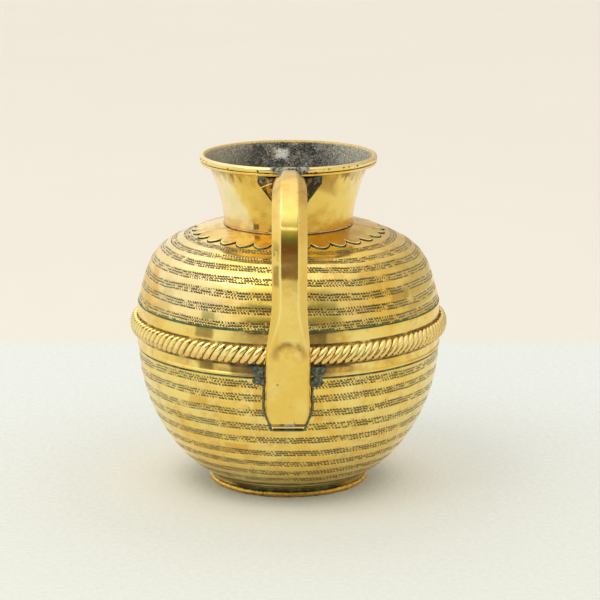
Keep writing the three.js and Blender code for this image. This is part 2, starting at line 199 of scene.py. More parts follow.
# colours of the metal, as they are where light falls plainly on them, and tones of painted light, shade and
# reflection
tones = {
    "bright": (0.97, 0.755, 0.25), "brass": (0.93, 0.65, 0.145), "orange": (0.70, 0.37, 0.06),
    "brown": (0.22, 0.11, 0.028), "tarnish": (0.06, 0.052, 0.026), "soot": (0.014, 0.014, 0.01),
    "verdigris": (0.1, 0.185, 0.075), "deepGreen": (0.05, 0.13, 0.05), "cornerGreen": (0.08, 0.2, 0.12),
    "paintedSheen": (1.0, 0.87, 0.55), "sideDirt": (0.13, 0.145, 0.095), "bowlDirt": (0.085, 0.095, 0.05),
    "olive": (0.3, 0.26, 0.07), "paleOlive": (0.36, 0.36, 0.1), "amber": (0.78, 0.43, 0.06),
    "rust": (0.5, 0.3, 0.08), "rubbed": (1.0, 0.85, 0.42), "collarRightBrown": (0.36, 0.19, 0.03),
    "neckMiddleReflection": (0.87, 0.575, 0.11), "neckSide": (1.0, 0.84, 0.45), "neckGlare": (1.0, 0.9, 0.6),
    "neckShade": (0.6, 0.34, 0.06), "neckBead": (1.0, 0.83, 0.42), "neckGussetShade": (0.4, 0.23, 0.055),
    "neckStain": (0.11, 0.065, 0.018),
    "gripGold": (0.86, 0.585, 0.125), "gripRubbedAndLit": (1.0, 0.83, 0.34), "gripWorn": (0.84, 0.53, 0.09),
    "gripStreak": (0.2, 0.18, 0.045), "gripDull": (0.68, 0.44, 0.11), "gripPale": (0.8, 0.56, 0.17),
    "lipGold": (1.0, 0.82, 0.38), "bandGold": (0.42, 0.25, 0.045), "bandBlack": (0.022, 0.02, 0.006),
    "bandGreen": (0.05, 0.09, 0.03), "ringGold": (0.85, 0.5, 0.065), "ringShade": (0.44, 0.25, 0.04),
    "grey": (0.42, 0.42, 0.38), "lead": (0.27, 0.285, 0.255), "slate": (0.2, 0.225, 0.155),
    "ash": (0.085, 0.095, 0.068), "tan": (0.72, 0.56, 0.33),
    "tinDark": (0.035, 0.037, 0.03), "tinMiddle": (0.17, 0.165, 0.14), "tinSideLight": (0.56, 0.54, 0.455),
    "tinFleck": (0.62, 0.6, 0.52), "tinBlack": (0.02, 0.021, 0.017), "tinGlint": (0.9, 0.9, 0.86),
    "tinBrass": (0.86, 0.62, 0.2),
}


def polished(name, stain, dull=0.12):
    # polished brass: its finish, roughness, the height of its dents and scratches, and the place in metres
    finish = Finish(name)
    wide, fine = finish.cloud(0.034, 2), finish.cloud(0.0045, 4, 0.6)
    worn = finish.cloud(0.012, 3, 0.55).rise(0.38, 0.66)
    finish.colour = finish.blend(wide.rise(0.36, 0.66), "bright", "brass")
    finish.lay(worn * fine.rise(0.3, 0.7) * stain, "orange")
    specks = finish.cells(0.0052).rise(0.16, 0.06) * finish.cloud(0.006, 1).rise(0.56, 0.66)
    finish.lay(specks * 0.75, "brown")
    rough = dull + worn * dull * 0.7 + fine * dull * 0.75 + specks * 0.2
    hairs = finish.cloud(0.0007, 2, spot=finish.stretch((1, 1, 0.12)))
    height = finish.cloud(0.016, 1) * 0.75 + fine * 0.06 + hairs * 0.012 - specks * 0.08
    return finish, rough, height, *finish.split(finish.place())


def plainBrass(name):
    finish, rough, height, x, y, z = polished(name, 0.8)
    return finish.metal(rough, 1.0, finish.bump(height, 0.0007))


def green(finish):
    return finish.blend(finish.cloud(0.004, 2).rise(0.4, 0.62), "verdigris", "tarnish")


# each row has three lines of marks; millimetres from its middle, how much they slant, and half their length
chasing = {"lines": (-1.85, 0.0, 1.85), "slants": (0.2, -0.26, 0.16), "half": 0.82, "wander": 1.6,
           "depth": 0.0004}


def chasedBrass(name, spec, lowSeam, highSeam):
    # rows of tool marks over polished brass; the mesh says how far each place is from its row
    finish, rough, height, x, y, z = polished(name, 0.55)
    across, count, along = (finish.read(key) for key in ("rowAcross", "rowCount", "along"))
    walk = finish.calc("ARCTAN2", x, -y) / (2 * math.pi) * count
    drift = finish.cloud(0.012, 2)
    aside = abs(x).rise(0.062, 0.098)
    marks = 0
    for i, (line, slant) in enumerate(zip(chasing["lines"], chasing["slants"])):
        off = across - line - (drift - 0.5) * chasing["wander"]
        patch = finish.cloud(0.005, 2, 0.6, finish.stretch((1, 1, 1.1 + 0.17 * i)))
        teeth = (walk + off * slant + drift + 0.37 * i).zigzag().rise(-0.1, 0.45)
        teeth = teeth * abs(off).rise(chasing["half"] + 0.2, chasing["half"] - 0.2) * patch.rise(0.33, 0.43)
        stroke = abs(off + 0.15).rise(0.6, 0.2) * (patch + aside * 0.07).rise(0.49, 0.53)
        marks = stroke.orMore(teeth * (1 - aside * 0.6)).orMore(marks)
    band = finish.read("rowAway").rise(spec["reach"] + 0.7, spec["reach"] - 0.1)
    marks = marks * band
    # painted highlight: the shoulder is paler on its upper left, where the light falls
    finish.lay((-x).rise(0.03, 0.06) * (-x).rise(0.1, 0.088) * z.rise(0.13, 0.15) * 0.45, "paintedSheen")
    # stains and painted reflections: patches of tone, in front only
    for middle, high, wide, tall, tone in spec["stainsAndReflections"]:
        away = (abs(x - middle) / wide).orMore(abs(z - high) / tall) + (drift - 0.5) * 0.8
        finish.lay(away.rise(1.2, 0.8) * (-y).rise(0, 0.03) * 0.6, tone)
    beneath = z.rise(0.0101, 0.0092) * (0.4 + 0.6 * finish.cloud(0.016, 4, 0.6).rise(0.4, 0.6))
    finish.lay(beneath * 0.85, finish.blend(drift.rise(0.4, 0.6), "brown", "tarnish"))
    finish.lay(band * 0.06, "brown")
    dirt = finish.blend(finish.cloud(0.02, 2).rise(0.35, 0.65), spec["dirt"], "tarnish")
    finish.lay(marks * 0.93, finish.blend(aside, dirt, "sideDirt"))
    low = (along + (drift - 0.5) * 3).rise(lowSeam + 1.15, lowSeam + 0.45)
    low = low * (along - lowSeam).rise(-4.5, -2.5).orMore(finish.cloud(0.004, 3).rise(0.48, 0.56))
    seam = low.orMore(along.rise(highSeam - 1.5, highSeam - 0.5)) * finish.cloud(0.009, 2).rise(0.15, 0.4)
    finish.lay(seam, finish.blend(low * 0.6, green(finish), "deepGreen"))
    rough = rough + marks * 0.25 + (seam * 0.4).orMore(beneath * 0.3)
    metal = 1 - (marks * 0.5).orMore(seam * 0.9)
    return finish.metal(rough, metal, finish.bump(-marks, chasing["depth"], finish.bump(height, 0.0008)))


# stains and painted reflections on the belt: middle across and up, half length, half height and tone of each,
# in metres
beltStainsAndReflections = [(-0.0565, 0.1072, 0.0055, 0.0018, (0.13, 0.115, 0.025)),
              (-0.058, 0.1304, 0.0065, 0.0024, (0.2, 0.12, 0.03)),
              (-0.031, 0.1075, 0.009, 0.0024, (0.17, 0.11, 0.03)),
              (-0.026, 0.1102, 0.015, 0.001, (0.035, 0.035, 0.022)),
              (0.031, 0.1098, 0.012, 0.001, (0.06, 0.045, 0.02)),
              (0.02, 0.1285, 0.007, 0.0032, (0.16, 0.08, 0.02))]


def beltBrass(name):
    # dirt gathers above and below the rope, and soldering heat has browned the strip below it; reflections
    # are painted on too, brownest beside the handle
    finish, rough, height, x, y, z = polished(name, 0.6)
    blots, front = finish.cloud(0.007, 3, 0.6), (-y).rise(0, 0.05)
    patina = z.rise(0.1125, 0.109) * z.rise(0.1035, 0.1055) * finish.cloud(0.02, 3).rise(0.34, 0.58)
    patina = patina * abs(x).rise(0.082, 0.07)
    finish.lay(patina * 0.75, finish.blend(blots.rise(0.35, 0.6), "orange", "brown"))
    # painted reflection of the handle: brown on the belt above the rope, beside the handle
    paintedHandleReflection = abs(x).rise(0.05, 0.02) * z.rise(0.1235, 0.1255) * front * (0.4 + 0.6 * blots.rise(0.3, 0.5))
    finish.lay(paintedHandleReflection * 0.6, "brown")
    for across, high, long, tall, tone in beltStainsAndReflections:
        spot = (abs(x - across) + blots * 0.004).rise(long + 0.003, long) * abs(z - high).rise(tall * 2, tall)
        finish.lay(spot * front * 0.7, tone)
    nearRope = abs(z - 0.1249).rise(0.0012, 0.0003).orMore(abs(z - 0.1106).rise(0.0014, 0.0006))
    heated = x.rise(-0.05, -0.02) * x.rise(0.036, 0.02) * front * blots.rise(0.25, 0.5) * z.rise(0.1135, 0.11)
    dark = (nearRope * finish.cloud(0.011, 2).rise(0.28, 0.5)).orMore(heated * 0.9)
    finish.lay(dark * 0.92, finish.blend(blots.rise(0.4, 0.6), "soot", "brown"))
    edge = z.rise(0.1332, 0.1337).orMore(z.rise(0.1026, 0.1021)) * blots.rise(0.25, 0.45)
    finish.lay(edge * 0.85, green(finish))
    return finish.metal(rough + dark * 0.3 + patina * 0.12, 1 - dark * 0.6, finish.bump(height, 0.0006))


def ropeBrass(name):
    # each strand is rubbed bright on its back and dark in the grooves between; shade is painted on its lower
    # half, and the grooves are painted lighter on the left
    finish, rough, height, x, y, z = polished(name, 0.45, 0.09)
    side, share = finish.read("strandSide"), finish.read("strandShare")
    finish.lay(side.rise(0.8, 0.35) * 0.8, "rubbed")
    # painted shade: the lower half of each strand is darker and more orange
    finish.lay(share.rise(0.5, 0.4) * 0.4, "orange")
    nick = abs(share - 0.47).rise(0.035, 0.012) * side.rise(0.25, 0.7)
    finish.lay(nick * finish.cloud(0.004, 2).rise(0.4, 0.55) * 0.6, "brown")
    # painted light: the grooves and pits are lighter on the left of the pot
    bare = 1 - (-x).rise(0.05, 0.08) * 0.5
    groove = side.rise(0.84, 0.99) * (0.35 + 0.65 * finish.cloud(0.003, 2).rise(0.3, 0.55))
    ends = abs(share - 0.86).rise(0.07, 0.03).orMore(abs(share - 0.12).rise(0.06, 0.03))
    pits = side.rise(0.55, 0.9) * ends * finish.cloud(0.006, 1).rise(0.36, 0.5) * bare
    dark = (groove * bare * 0.8).orMore(pits)
    finish.lay(dark, "brown")
    finish.lay(pits * 0.9, "soot")
    return finish.metal(rough + 0.05 + dark * 0.3, 1 - pits * 0.6, finish.bump(height, 0.0004))


def neckBrass(name):
    # stains run down from the rim, and small pits are left where the rim was closed; reflections and shade
    # are painted over the neck, and shade in the groove and under the rim
    finish, rough, height, x, y, z = polished(name, 0.45)
    front = (-y).rise(0, 0.02)
    streaks = finish.cloud(0.0035, 2, spot=finish.stretch((1, 1, 0.16)))
    blots = finish.cloud(0.009, 3).rise(0.42, 0.6)
    drips = (z + streaks * 0.03).rise(0.239, 0.247) * z.rise(0.2342, 0.2334)
    finish.lay(drips * (0.45 + 0.45 * blots), "brown")
    # painted reflections: the middle of the neck is more orange and its sides paler
    finish.lay(abs(x).rise(0.046, 0.024) * 0.7, "neckMiddleReflection")
    finish.lay(abs(x).rise(0.038, 0.052) * 0.5, "neckSide")
    slope = x + 0.0412 + (z - 0.2275) * 0.54  # how far to the right of the edge of the painted pale reflection
    # painted reflection and painted shade: a pale patch left of that edge, shade just right of it
    glare = (streaks * 0.004 - slope).rise(0, 0.004) * (z + streaks * 0.006).rise(0.234, 0.226)
    finish.lay(glare * front * 0.55, "neckGlare")
    shadow = slope.rise(0.002, 0.008) * x.rise(-0.004, -0.012) * front * (0.5 + 0.5 * blots)
    finish.lay(shadow * 0.3, "neckShade")
    # painted shade on the neck, right of the gusset
    gussetShade = (abs(x - 0.0255) / 0.008).orMore(abs(z - 0.2265 + (x - 0.0255) * 0.5) / 0.007) + streaks * 0.4
    finish.lay(gussetShade.rise(1.5, 0.7) * front * 0.6, "neckGussetShade")
    finish.lay(z.rise(0.2366, 0.2378) * 0.6, "neckBead")
    finish.lay(z.rise(0.203, 0.192) * blots * 0.45, "orange")
    ragged = (finish.cloud(0.0022, 2) - 0.5) * 0.0022
    stain = (abs(x + 0.0225) + ragged).rise(0.0025, 0.0012) * (abs(z - 0.1942) + ragged).rise(0.003, 0.0016)
    finish.lay(stain * front * 0.8, "neckStain")
    # painted shade: the groove between bead and strip and a band just under the rim are darkened, with the
    # pits
    groove = abs(z - 0.2358).rise(0.0005, 0.0001) * finish.cloud(0.008, 2).rise(0.3, 0.6)
    pits = finish.cells(0.0036).rise(0.42, 0.3) * finish.cloud(0.009, 2).rise(0.42, 0.48)
    pits = pits * abs(z - 0.2372).rise(0.0017, 0.001)
    under = abs(z - 0.2334).rise(0.0007, 0.0002) * finish.cloud(0.012, 2).rise(0.3, 0.5)
    dark = (groove * 0.2).orMore(pits).orMore(under * 0.7)
    finish.lay(dark, "tarnish")
    rough = rough + dark * 0.35 + drips * 0.15
    return finish.metal(rough, 1 - dark * 0.6, finish.bump(height - dark * 0.5, 0.0009))


def collarBrass(name):
    # stained, darker and browner on its right in front, but bright along its cut edge
    finish, rough, height, x, y, z = polished(name, 0.75)
    edge = finish.read("edgeShare").rise(0.972, 0.99)
    finish.lay(finish.cloud(0.012, 3).rise(0.46, 0.62) * (1 - edge) * 0.5, "orange")
    darkerRight = x.rise(0.006, 0.02) * x.rise(0.062, 0.04) * (-y).rise(0.01, 0.03) * (1 - edge)
    finish.lay(darkerRight * 0.45, "collarRightBrown")
    finish.lay(edge * 0.85, "rubbed")
    return finish.metal(rough, 1.0, finish.bump(height, 0.0007))


def handleBrass(name):
    # painted shade, brown, in the hollow where it widens; rubbed bright and painted highlights along its
    # creases and above the hollow; dull over the rim
    finish, rough, height, x, y, z = polished(name, 0.28, 0.055)
    crease, edge, blots = finish.read("creaseAway"), finish.read("edgeAway"), finish.cloud(0.006, 3)
    wide = abs(x - handleX)
    bow = finish.calc("SQRT", (wide / 0.0113).squared() + ((z - 0.119) / 0.0118).squared())
    finish.lay(z.rise(0.12, 0.135) * z.rise(0.18, 0.17) * 0.5, "gripGold")
    # painted shade: brown in the hollow where the strap widens, darkest at its corners
    hollow = abs(bow - 0.86).rise(0.4, 0.0) * z.rise(0.1145, 0.1225)
    corner = hollow * wide.rise(0.004, 0.009)
    finish.lay((hollow * 0.7 * blots.rise(0.3, 0.62)).orMore(corner * 0.62), "brown")
    inner = bow.rise(1.0, 0.7) * z.rise(0.112, 0.12) * finish.cloud(0.005, 3, 0.6).rise(0.42, 0.62)
    finish.lay(inner * 0.4, "orange")
    ridge = abs(crease - 0.5).rise(0.5, 0.2) * z.rise(0.118, 0.11) * blots.rise(0.3, 0.5)
    finish.lay(ridge * 0.35, "orange")
    streak = abs(x + 0.0078).rise(0.0024, 0.0012) * z.rise(0.167, 0.172) * z.rise(0.203, 0.19)
    streak = streak * blots.rise(0.3, 0.46)
    finish.lay(streak * 0.75, finish.blend(z.rise(0.176, 0.182), "brown", "gripStreak"))
    facet = crease.rise(0.9, 1.4) * wide.rise(0.0065, 0.0085) * z.rise(0.118, 0.13)
    finish.lay(facet * 0.2, "orange")
    # painted highlight above the hollow and along the creases, where they are also rubbed
    browHighlight = abs(bow - 1.14).rise(0.1, 0.03) * wide.rise(0.007, 0.004) * z.rise(0.125, 0.129)
    rubbed = (crease.rise(1.1, 0.35) * z.rise(0.128, 0.15)).orMore(browHighlight * 0.6)
    finish.lay(rubbed.orMore(edge.rise(0.9, 0.3) * 0.7) * 0.6, "gripRubbedAndLit")
    worn = finish.cloud(0.014, 3, 0.6).rise(0.4, 0.6) * z.rise(0.135, 0.12)
    finish.lay(worn * 0.3, "gripWorn")
    dulled = (z + finish.cloud(0.01, 3) * 0.012).rise(0.226, 0.236)
    finish.lay(dulled * 0.85, finish.blend(finish.cloud(0.007, 2).rise(0.35, 0.6), "gripDull", "gripPale"))
    spots = finish.cells(0.006).rise(0.2, 0.1) * finish.cloud(0.012, 1).rise(0.56, 0.62) * z.rise(0.13, 0.12)
    finish.lay(spots * 0.7, "brown")
    splash = finish.cells(0.009).rise(0.13, 0.09) * abs(x).rise(0.0135, 0.0145) * z.rise(0.11, 0.1)
    finish.lay(splash, "grey")
    dents = finish.cloud(0.012, 2) * z.rise(0.15, 0.12)
    rough = rough + splash * 0.25 + dulled * 0.15
    return finish.metal(rough, 1.0, finish.bump(height + dents * 2.2, 0.0003))


def stripBrass(name):
    # the strip under the grip: painted shadow, black, in the slot at its lower end, with solder run into the
    # middle
    finish, rough, height, x, y, z = polished(name, 0.8)
    front, grain = (-y).rise(0, 0.05), finish.cloud(0.003, 3)
    # painted shadow: the slot under the cover's end is black and brown
    slotShadow = z.rise(0.0662, 0.0668) * z.rise(0.0735, 0.0725) * front
    inside = finish.blend(grain.rise(0.4, 0.6), "soot", "brown")
    inside = finish.blend(abs(x - 0.001).rise(0.0045, 0.003) * grain.rise(0.3, 0.45), inside, "grey")
    inside = finish.blend(x.rise(-0.004, -0.007) * grain.rise(0.35, 0.5) * 0.7, inside, "orange")
    finish.lay(z.rise(0.0666, 0.066) * front * 0.9, "lipGold")
    finish.lay(z.rise(0.0652, 0.0648) * front * 0.9, "slate")
    finish.lay(slotShadow * 0.95, inside)
    return finish.metal(rough + slotShadow * 0.3, 1 - slotShadow * 0.5, finish.bump(height + grain * slotShadow, 0.0006))


def shadedDarkBrass(name):
    # the bracket is green and black up under the rim, partly dirt and partly painted shade, and shows its
    # metal lower down
    finish, rough, height, x, y, z = polished(name, 0.9)
    bare = finish.cloud(0.0045, 4, 0.65) + z.rise(0.23, 0.205) * 0.2
    bare = (bare - x.rise(0.0, 0.004) * z.rise(0.208, 0.215) * 0.1).rise(0.47, 0.62)
    # dirt and painted shade: soot and brown over most of it
    deep = finish.blend(finish.cloud(0.0035, 3).rise(0.5, 0.64), "soot", "brown")
    corner = z.rise(0.2285, 0.232) * abs(x - handleX).rise(0.0155, 0.019)
    deep = finish.blend(corner * finish.cloud(0.004, 2).rise(0.35, 0.5) * 0.8, deep, "cornerGreen")
    finish.lay(0.45, "brown")
    finish.colour = finish.blend(bare * 0.7, deep, finish.colour)
    return finish.metal(rough + 0.3 - bare * 0.3, 0.5 + bare * 0.5, finish.bump(height, 0.001))


def seamTarnish(name):
    finish = Finish(name)
    grain = finish.cloud(0.0016, 3)
    finish.colour = finish.blend(finish.cloud(0.006, 2).rise(0.34, 0.56), "verdigris", "soot")
    return finish.metal(0.5 + grain * 0.2, 0.15, finish.bump(grain, 0.0004))


def footBrass(name):
    # gold on top of the band, black and green in its hollow, which is less dark at the sides
    finish, rough, height, x, y, z = polished(name, 0.9)
    hollow = z.rise(0.0072, 0.0066) * finish.cloud(0.012, 2).rise(0.2, 0.34)
    hollow = hollow * (1 - abs(x).rise(0.034, 0.044) * 0.6)
    finish.lay(0.7, "bandGold")
    finish.lay(hollow * 0.95, finish.blend(finish.cloud(0.005, 3).rise(0.46, 0.62), "bandBlack", "bandGreen"))
    return finish.metal(rough + hollow * 0.35, 1 - hollow * 0.7, finish.bump(height, 0.0008))


def footRing(name):
    # the ring is dull with handling, with painted shade darkest in front, and dark where it stands
    finish, rough, height, x, y, z = polished(name, 0.9)
    # painted shade in front
    shade = abs(x).rise(0.05, 0.012) * (-y).rise(0.02, 0.05)
    blots = finish.cloud(0.003, 3)
    finish.lay(0.8, finish.blend(shade, "ringGold", "ringShade"))
    finish.lay(z.rise(0.0013, 0.0003) * 0.3, "brown")
    finish.lay(blots.rise(0.56, 0.66) * 0.5, "brown")
    return finish.metal(rough + 0.08, 1.0, finish.bump(height + blots, 0.0009))


def tinSolder(name, pale=0.5, light="grey", dark="tarnish"):
    finish = Finish(name)
    blots, grain = finish.cloud(0.0026, 4, 0.7), finish.cloud(0.0011, 3)
    finish.colour = finish.blend(blots.rise(pale - 0.08, pale + 0.08), light, dark)
    finish.lay(finish.cloud(0.0028, 2).rise(0.55, 0.68) * 0.5, "verdigris")
    return finish.metal(0.3 + grain * 0.3, 0.8, finish.bump(blots + grain * 0.5, 0.0012))


def oldTinning(name):
    # tin lining, mottled black and bright, worn through to the brass in spots near the rim and on it; painted
    # lighter towards both sides, with a painted highlight at the back
    finish = Finish(name)
    blots, grain = finish.cloud(0.0022, 5, 0.8, twist=0.2), finish.cloud(0.0009, 4, 0.75)
    x, y, z = finish.split(finish.place())
    pale, aside = finish.cloud(0.011, 4, 0.7).rise(0.42, 0.62), abs(x).rise(0.016, 0.054)
    finish.colour = finish.blend(pale, "tinDark", "tinMiddle")
    # painted light: the lining is paler and less black towards both sides
    finish.lay(aside * 0.8, "tinSideLight")
    finish.lay(grain.rise(0.5, 0.6) * (0.45 + 0.55 * pale) * 0.8, "tinFleck")
    finish.lay(blots.rise(0.52, 0.6) * (0.85 - 0.45 * aside), "tinBlack")
    glint = (abs(x + 0.0055) / 0.007).orMore(abs(z - 0.2305) / 0.005) + (blots - 0.5) * 1.6
    finish.lay(glint.rise(1.0, 0.3) * y.rise(0.02, 0.03) * 0.8, "tinGlint")
    bare = finish.cloud(0.005, 3).rise(0.64, 0.68) * grain.rise(0.4, 0.6) * z.rise(0.225, 0.238)
    finish.lay(bare * 0.8, "orange")
    finish.lay((z + blots * 0.002).rise(0.2393, 0.24) * 0.85, "tinBrass")
    return finish.metal(0.14 + blots * 0.25, 0.9, finish.bump(grain + blots, 0.0008))


finishes = {
    "belt": beltBrass("beltBrass"),
    "rope": ropeBrass("ropeBrass"),
    "neck": neckBrass("neckBrass"),
    "handle": handleBrass("handleBrass"),
    "strip": stripBrass("stripBrass"),
    "foot": footRing("footRingBrass"),
    "footBand": footBrass("footBandBrass"),
    "collar": collarBrass("collarBrass"),
    "plain": plainBrass("plainBrass"),
    "dark": shadedDarkBrass("shadedDarkBrass"),
    "tarnish": seamTarnish("seamTarnish"),
    "solder": tinSolder("tinSolder"),
    "paleSolder": tinSolder("paleSolder", 0.52),
    "darkSolder": tinSolder("darkSolder", 0.46, "lead", "ash"),
    "tanSolder": tinSolder("tanSolder", 0.57, "tan", "brown"),
    "slateSolder": tinSolder("slateSolder", 0.55, "slate", "ash"),
    "tinning": oldTinning("oldTinning"),
}
print("finishes made")


# lines of points in millimetres
def bezier(a, b, c, d, count):
    t = np.linspace(0, 1, count)[:, None]
    a, b, c, d = (np.array(p, float) for p in (a, b, c, d))
    return (1 - t) ** 3 * a + 3 * (1 - t) ** 2 * t * b + 3 * (1 - t) * t * t * c + t ** 3 * d


def lengths(line):
    return np.concatenate([[0], np.cumsum(np.linalg.norm(np.diff(line, axis=0), axis=1))])


def evenly(line, step):
    far = lengths(line)
    at = np.linspace(0, far[-1], max(2, round(far[-1] / step) + 1))
    return np.column_stack([np.interp(at, far, line[:, i]) for i in range(line.shape[1])])


def through(points, each):  # a smooth curve through points
    p = np.array(points, float)
    p = np.vstack([2 * p[0] - p[1], p, 2 * p[-1] - p[-2]])
    t = np.arange(each)[:, None] / each
    runs = [b + 0.5 * ((c - a) * t + (2 * a - 5 * b + 4 * c - d) * t ** 2 + (3 * b - a - 3 * c + d) * t ** 3)
            for a, b, c, d in zip(p, p[1:], p[2:], p[3:])]
    return np.vstack([*runs, p[-2:-1]])


def arc(centre, radius, start, end, count):
    a = np.radians(np.linspace(start, end, count))
    return np.column_stack([centre[0] + radius * np.cos(a), centre[1] + radius * np.sin(a)])


def circle(count):
    return np.arange(count) * 2 * math.pi / count


def unit(vectors):
    return vectors / np.linalg.norm(vectors, axis=-1, keepdims=True)


def sideways(line):  # unit vectors to the right of a line, which is outwards for one that rises
    run = unit(np.gradient(line, axis=0))
    return np.column_stack([run[:, 1], -run[:, 0]])


def smoothShare(value, low, high):
    t = np.clip((value - low) / (high - low), 0, 1)
    return t * t * (3 - 2 * t)


def ripple(along, angle, size, waves, longest):
    # uneven hand work: a few slow waves laid over each other, whole round the pot
    total = np.zeros(np.broadcast(along, angle).shape)
    for _ in range(waves):
        turns, run = rng.integers(2, 11), rng.uniform(-1, 1) * 2 * math.pi / longest
        total += np.sin(turns * angle + run * along + rng.uniform(0, 2 * math.pi))
    return total * size / math.sqrt(waves)


# meshes from such points; looks are names of finishes, and marks are numbers at the points for them to read
def writeMarks(mesh, marks):
    for key, values in marks.items():
        spots = mesh.attributes.new(key, "FLOAT", "POINT").data
        spots.foreach_set("value", np.ravel(values).astype(np.float32))
    mesh.polygons.foreach_set("use_smooth", [True] * len(mesh.polygons))


def settle(piece, nodes):
    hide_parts(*nodes)
    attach(piece, "root")
    print(piece.name, len(piece.data.polygons), "faces")


def meshPiece(name, points, faces, looks, nodes, which=None, marks=None, sharp=38, outwards=False):
    mesh = bpy.data.meshes.new(name)
    place = np.array(points, float) * 0.001 + (0, axisY, 0)
    mesh.from_pydata(place.tolist(), [], faces)
    writeMarks(mesh, marks or {})
    if which is not None:
        mesh.polygons.foreach_set("material_index", which)
    build = bmesh.new()
    build.from_mesh(mesh)
    bmesh.ops.remove_doubles(build, verts=build.verts, dist=2e-6)
    if outwards:
        bmesh.ops.recalc_face_normals(build, faces=build.faces)
    build.to_mesh(mesh)
    build.free()
    mesh.set_sharp_from_angle(angle=math.radians(sharp))
    for look in looks:
        mesh.materials.append(finishes[look])
    settle(addObject(name, mesh), nodes)


def ringPiece(name, radius, height, angle, looks, nodes, inside=None, marks=None, sharp=38):
    # closed walls all round the pot; inside is where in the outline the second look starts and ends
    points = np.stack([radius * np.sin(angle), -radius * np.cos(angle), height], -1).reshape(-1, 3)
    rows, count = radius.shape
    i, k = np.meshgrid(np.arange(rows), np.arange(count), indexing="ij")
    j, n = (i + 1) % rows, (k + 1) % count
    faces = np.stack([i * count + k, i * count + n, j * count + n, j * count + k], -1).reshape(-1, 4)
    which = None if inside is None else ((i.ravel() >= inside[0]) & (i.ravel() < inside[1])).astype(int)
    meshPiece(name, points, faces.tolist(), looks, nodes, which, marks, sharp)


def turned(name, line, count, looks, nodes, push=None, inside=None, marks=None):
    # push moves each place of the outline outwards
    line = np.array(line, float)
    out = sideways(np.vstack([line[-1:], line, line[:1]]))[1:-1]
    radius, height = (np.repeat(line[:, i:i + 1], count, 1) for i in range(2))
    if push is not None:
        radius, height = radius + out[:, :1] * push, height + out[:, 1:] * push
    ringPiece(name, radius, height, circle(count), looks, nodes, inside, marks)


def tubeFaces(rings, around):  # closed at both ends
    faces = []
    for start in range(0, (rings - 1) * around, around):
        turns = [(start + k, start + (k + 1) % around) for k in range(around)]
        faces += [[a, b, b + around, a + around] for a, b in turns]
    last = (rings - 1) * around
    return faces + [list(range(around))[::-1], list(range(last, last + around))]


def loftPiece(name, rings, looks, nodes, sharp=38, marks=None):
    faces = tubeFaces(len(rings), len(rings[0]))
    meshPiece(name, np.vstack(rings), faces, looks, nodes, marks=marks, sharp=sharp, outwards=True)


# sizes that several pieces share, in millimetres
body = {"fit": 0.3, "sheet": 1.3, "edge": 109.2, "belly": 109.5, "beltLow": 101.9, "beltHigh": 133.9,
        "neckFoot": 188.6, "neck": 46.1, "corner": (60, 9.8), "round": 420}
bowlLine = bezier(body["corner"], (65.6, 9.8), (107.0, 40.0), (body["edge"], 101.6), 400)
neckCorner = (body["neck"], body["neckFoot"])
shoulderLine = bezier((body["edge"], 134.2), (100.43, 165.3), (102.39, 178.7), neckCorner, 400)


def bowlRadius(height):
    return np.interp(height, bowlLine[:, 1], bowlLine[:, 0])


def shoulderHeight(radius):
    return np.interp(radius, shoulderLine[::-1, 0], shoulderLine[::-1, 1])


# rows hang lower on the right, between these degrees, and waver a little
rowSag = {"starts": (3, 38), "ends": (110, 250), "waver": 0.35}
farOff = 50  # what the walls inside have for their distance from a row


def rowsOn(line, spec):
    # at each point: arc length, distance from the nearest row, and how many tool marks that row has
    far, angle = lengths(line)[:, None], circle(body["round"])
    turn = np.degrees(angle)
    right = smoothShare(turn, *rowSag["starts"]) * (1 - smoothShare(turn, *rowSag["ends"]))
    best = np.full((len(line), body["round"]), 1e3)
    count = np.full_like(best, 100)
    for (radius, height), sag in zip(spec["rows"], spec["sags"]):
        centre = far[np.argmin(np.hypot(line[:, 0] - radius, line[:, 1] - height)), 0]
        off = far - centre - sag * right - ripple(0, angle, rowSag["waver"], 4, 1)[None]
        near = np.abs(off) < np.abs(best)
        best = np.where(near, off, best)
        count = np.where(near, round(2 * math.pi * radius / spec["pitch"]), count)
    return np.repeat(far, body["round"], 1), best, count


def chasedShell(name, line, back, spec, looks, nodes, plain=0):
    # a shell with its rows pressed in; the last plain points of its back are brass, the others tinned
    far, off, count = rowsOn(line, spec)
    groove = np.exp(-(off / (0.75 * spec["reach"])) ** 2)
    push = -spec["groove"] * groove + ripple(far, circle(body["round"]), spec["dents"], 9, 60)
    push *= np.minimum(1, np.minimum(far, far[-1, 0] - far) / 4)
    pad = lambda values, fill: np.vstack([values, np.full((len(back), body["round"]), fill)])
    marks = {"along": pad(far, farOff), "rowAcross": pad(off, farOff), "rowAway": pad(np.abs(off), farOff),
             "rowCount": pad(count, 100)}
    turned(name, np.vstack([line, back]), body["round"], looks, nodes,
           pad(push, 0), (len(line), len(line) + len(back) - plain), marks)


def innerWall(line):
    return (line - sideways(line) * body["sheet"])[::-1][::4]


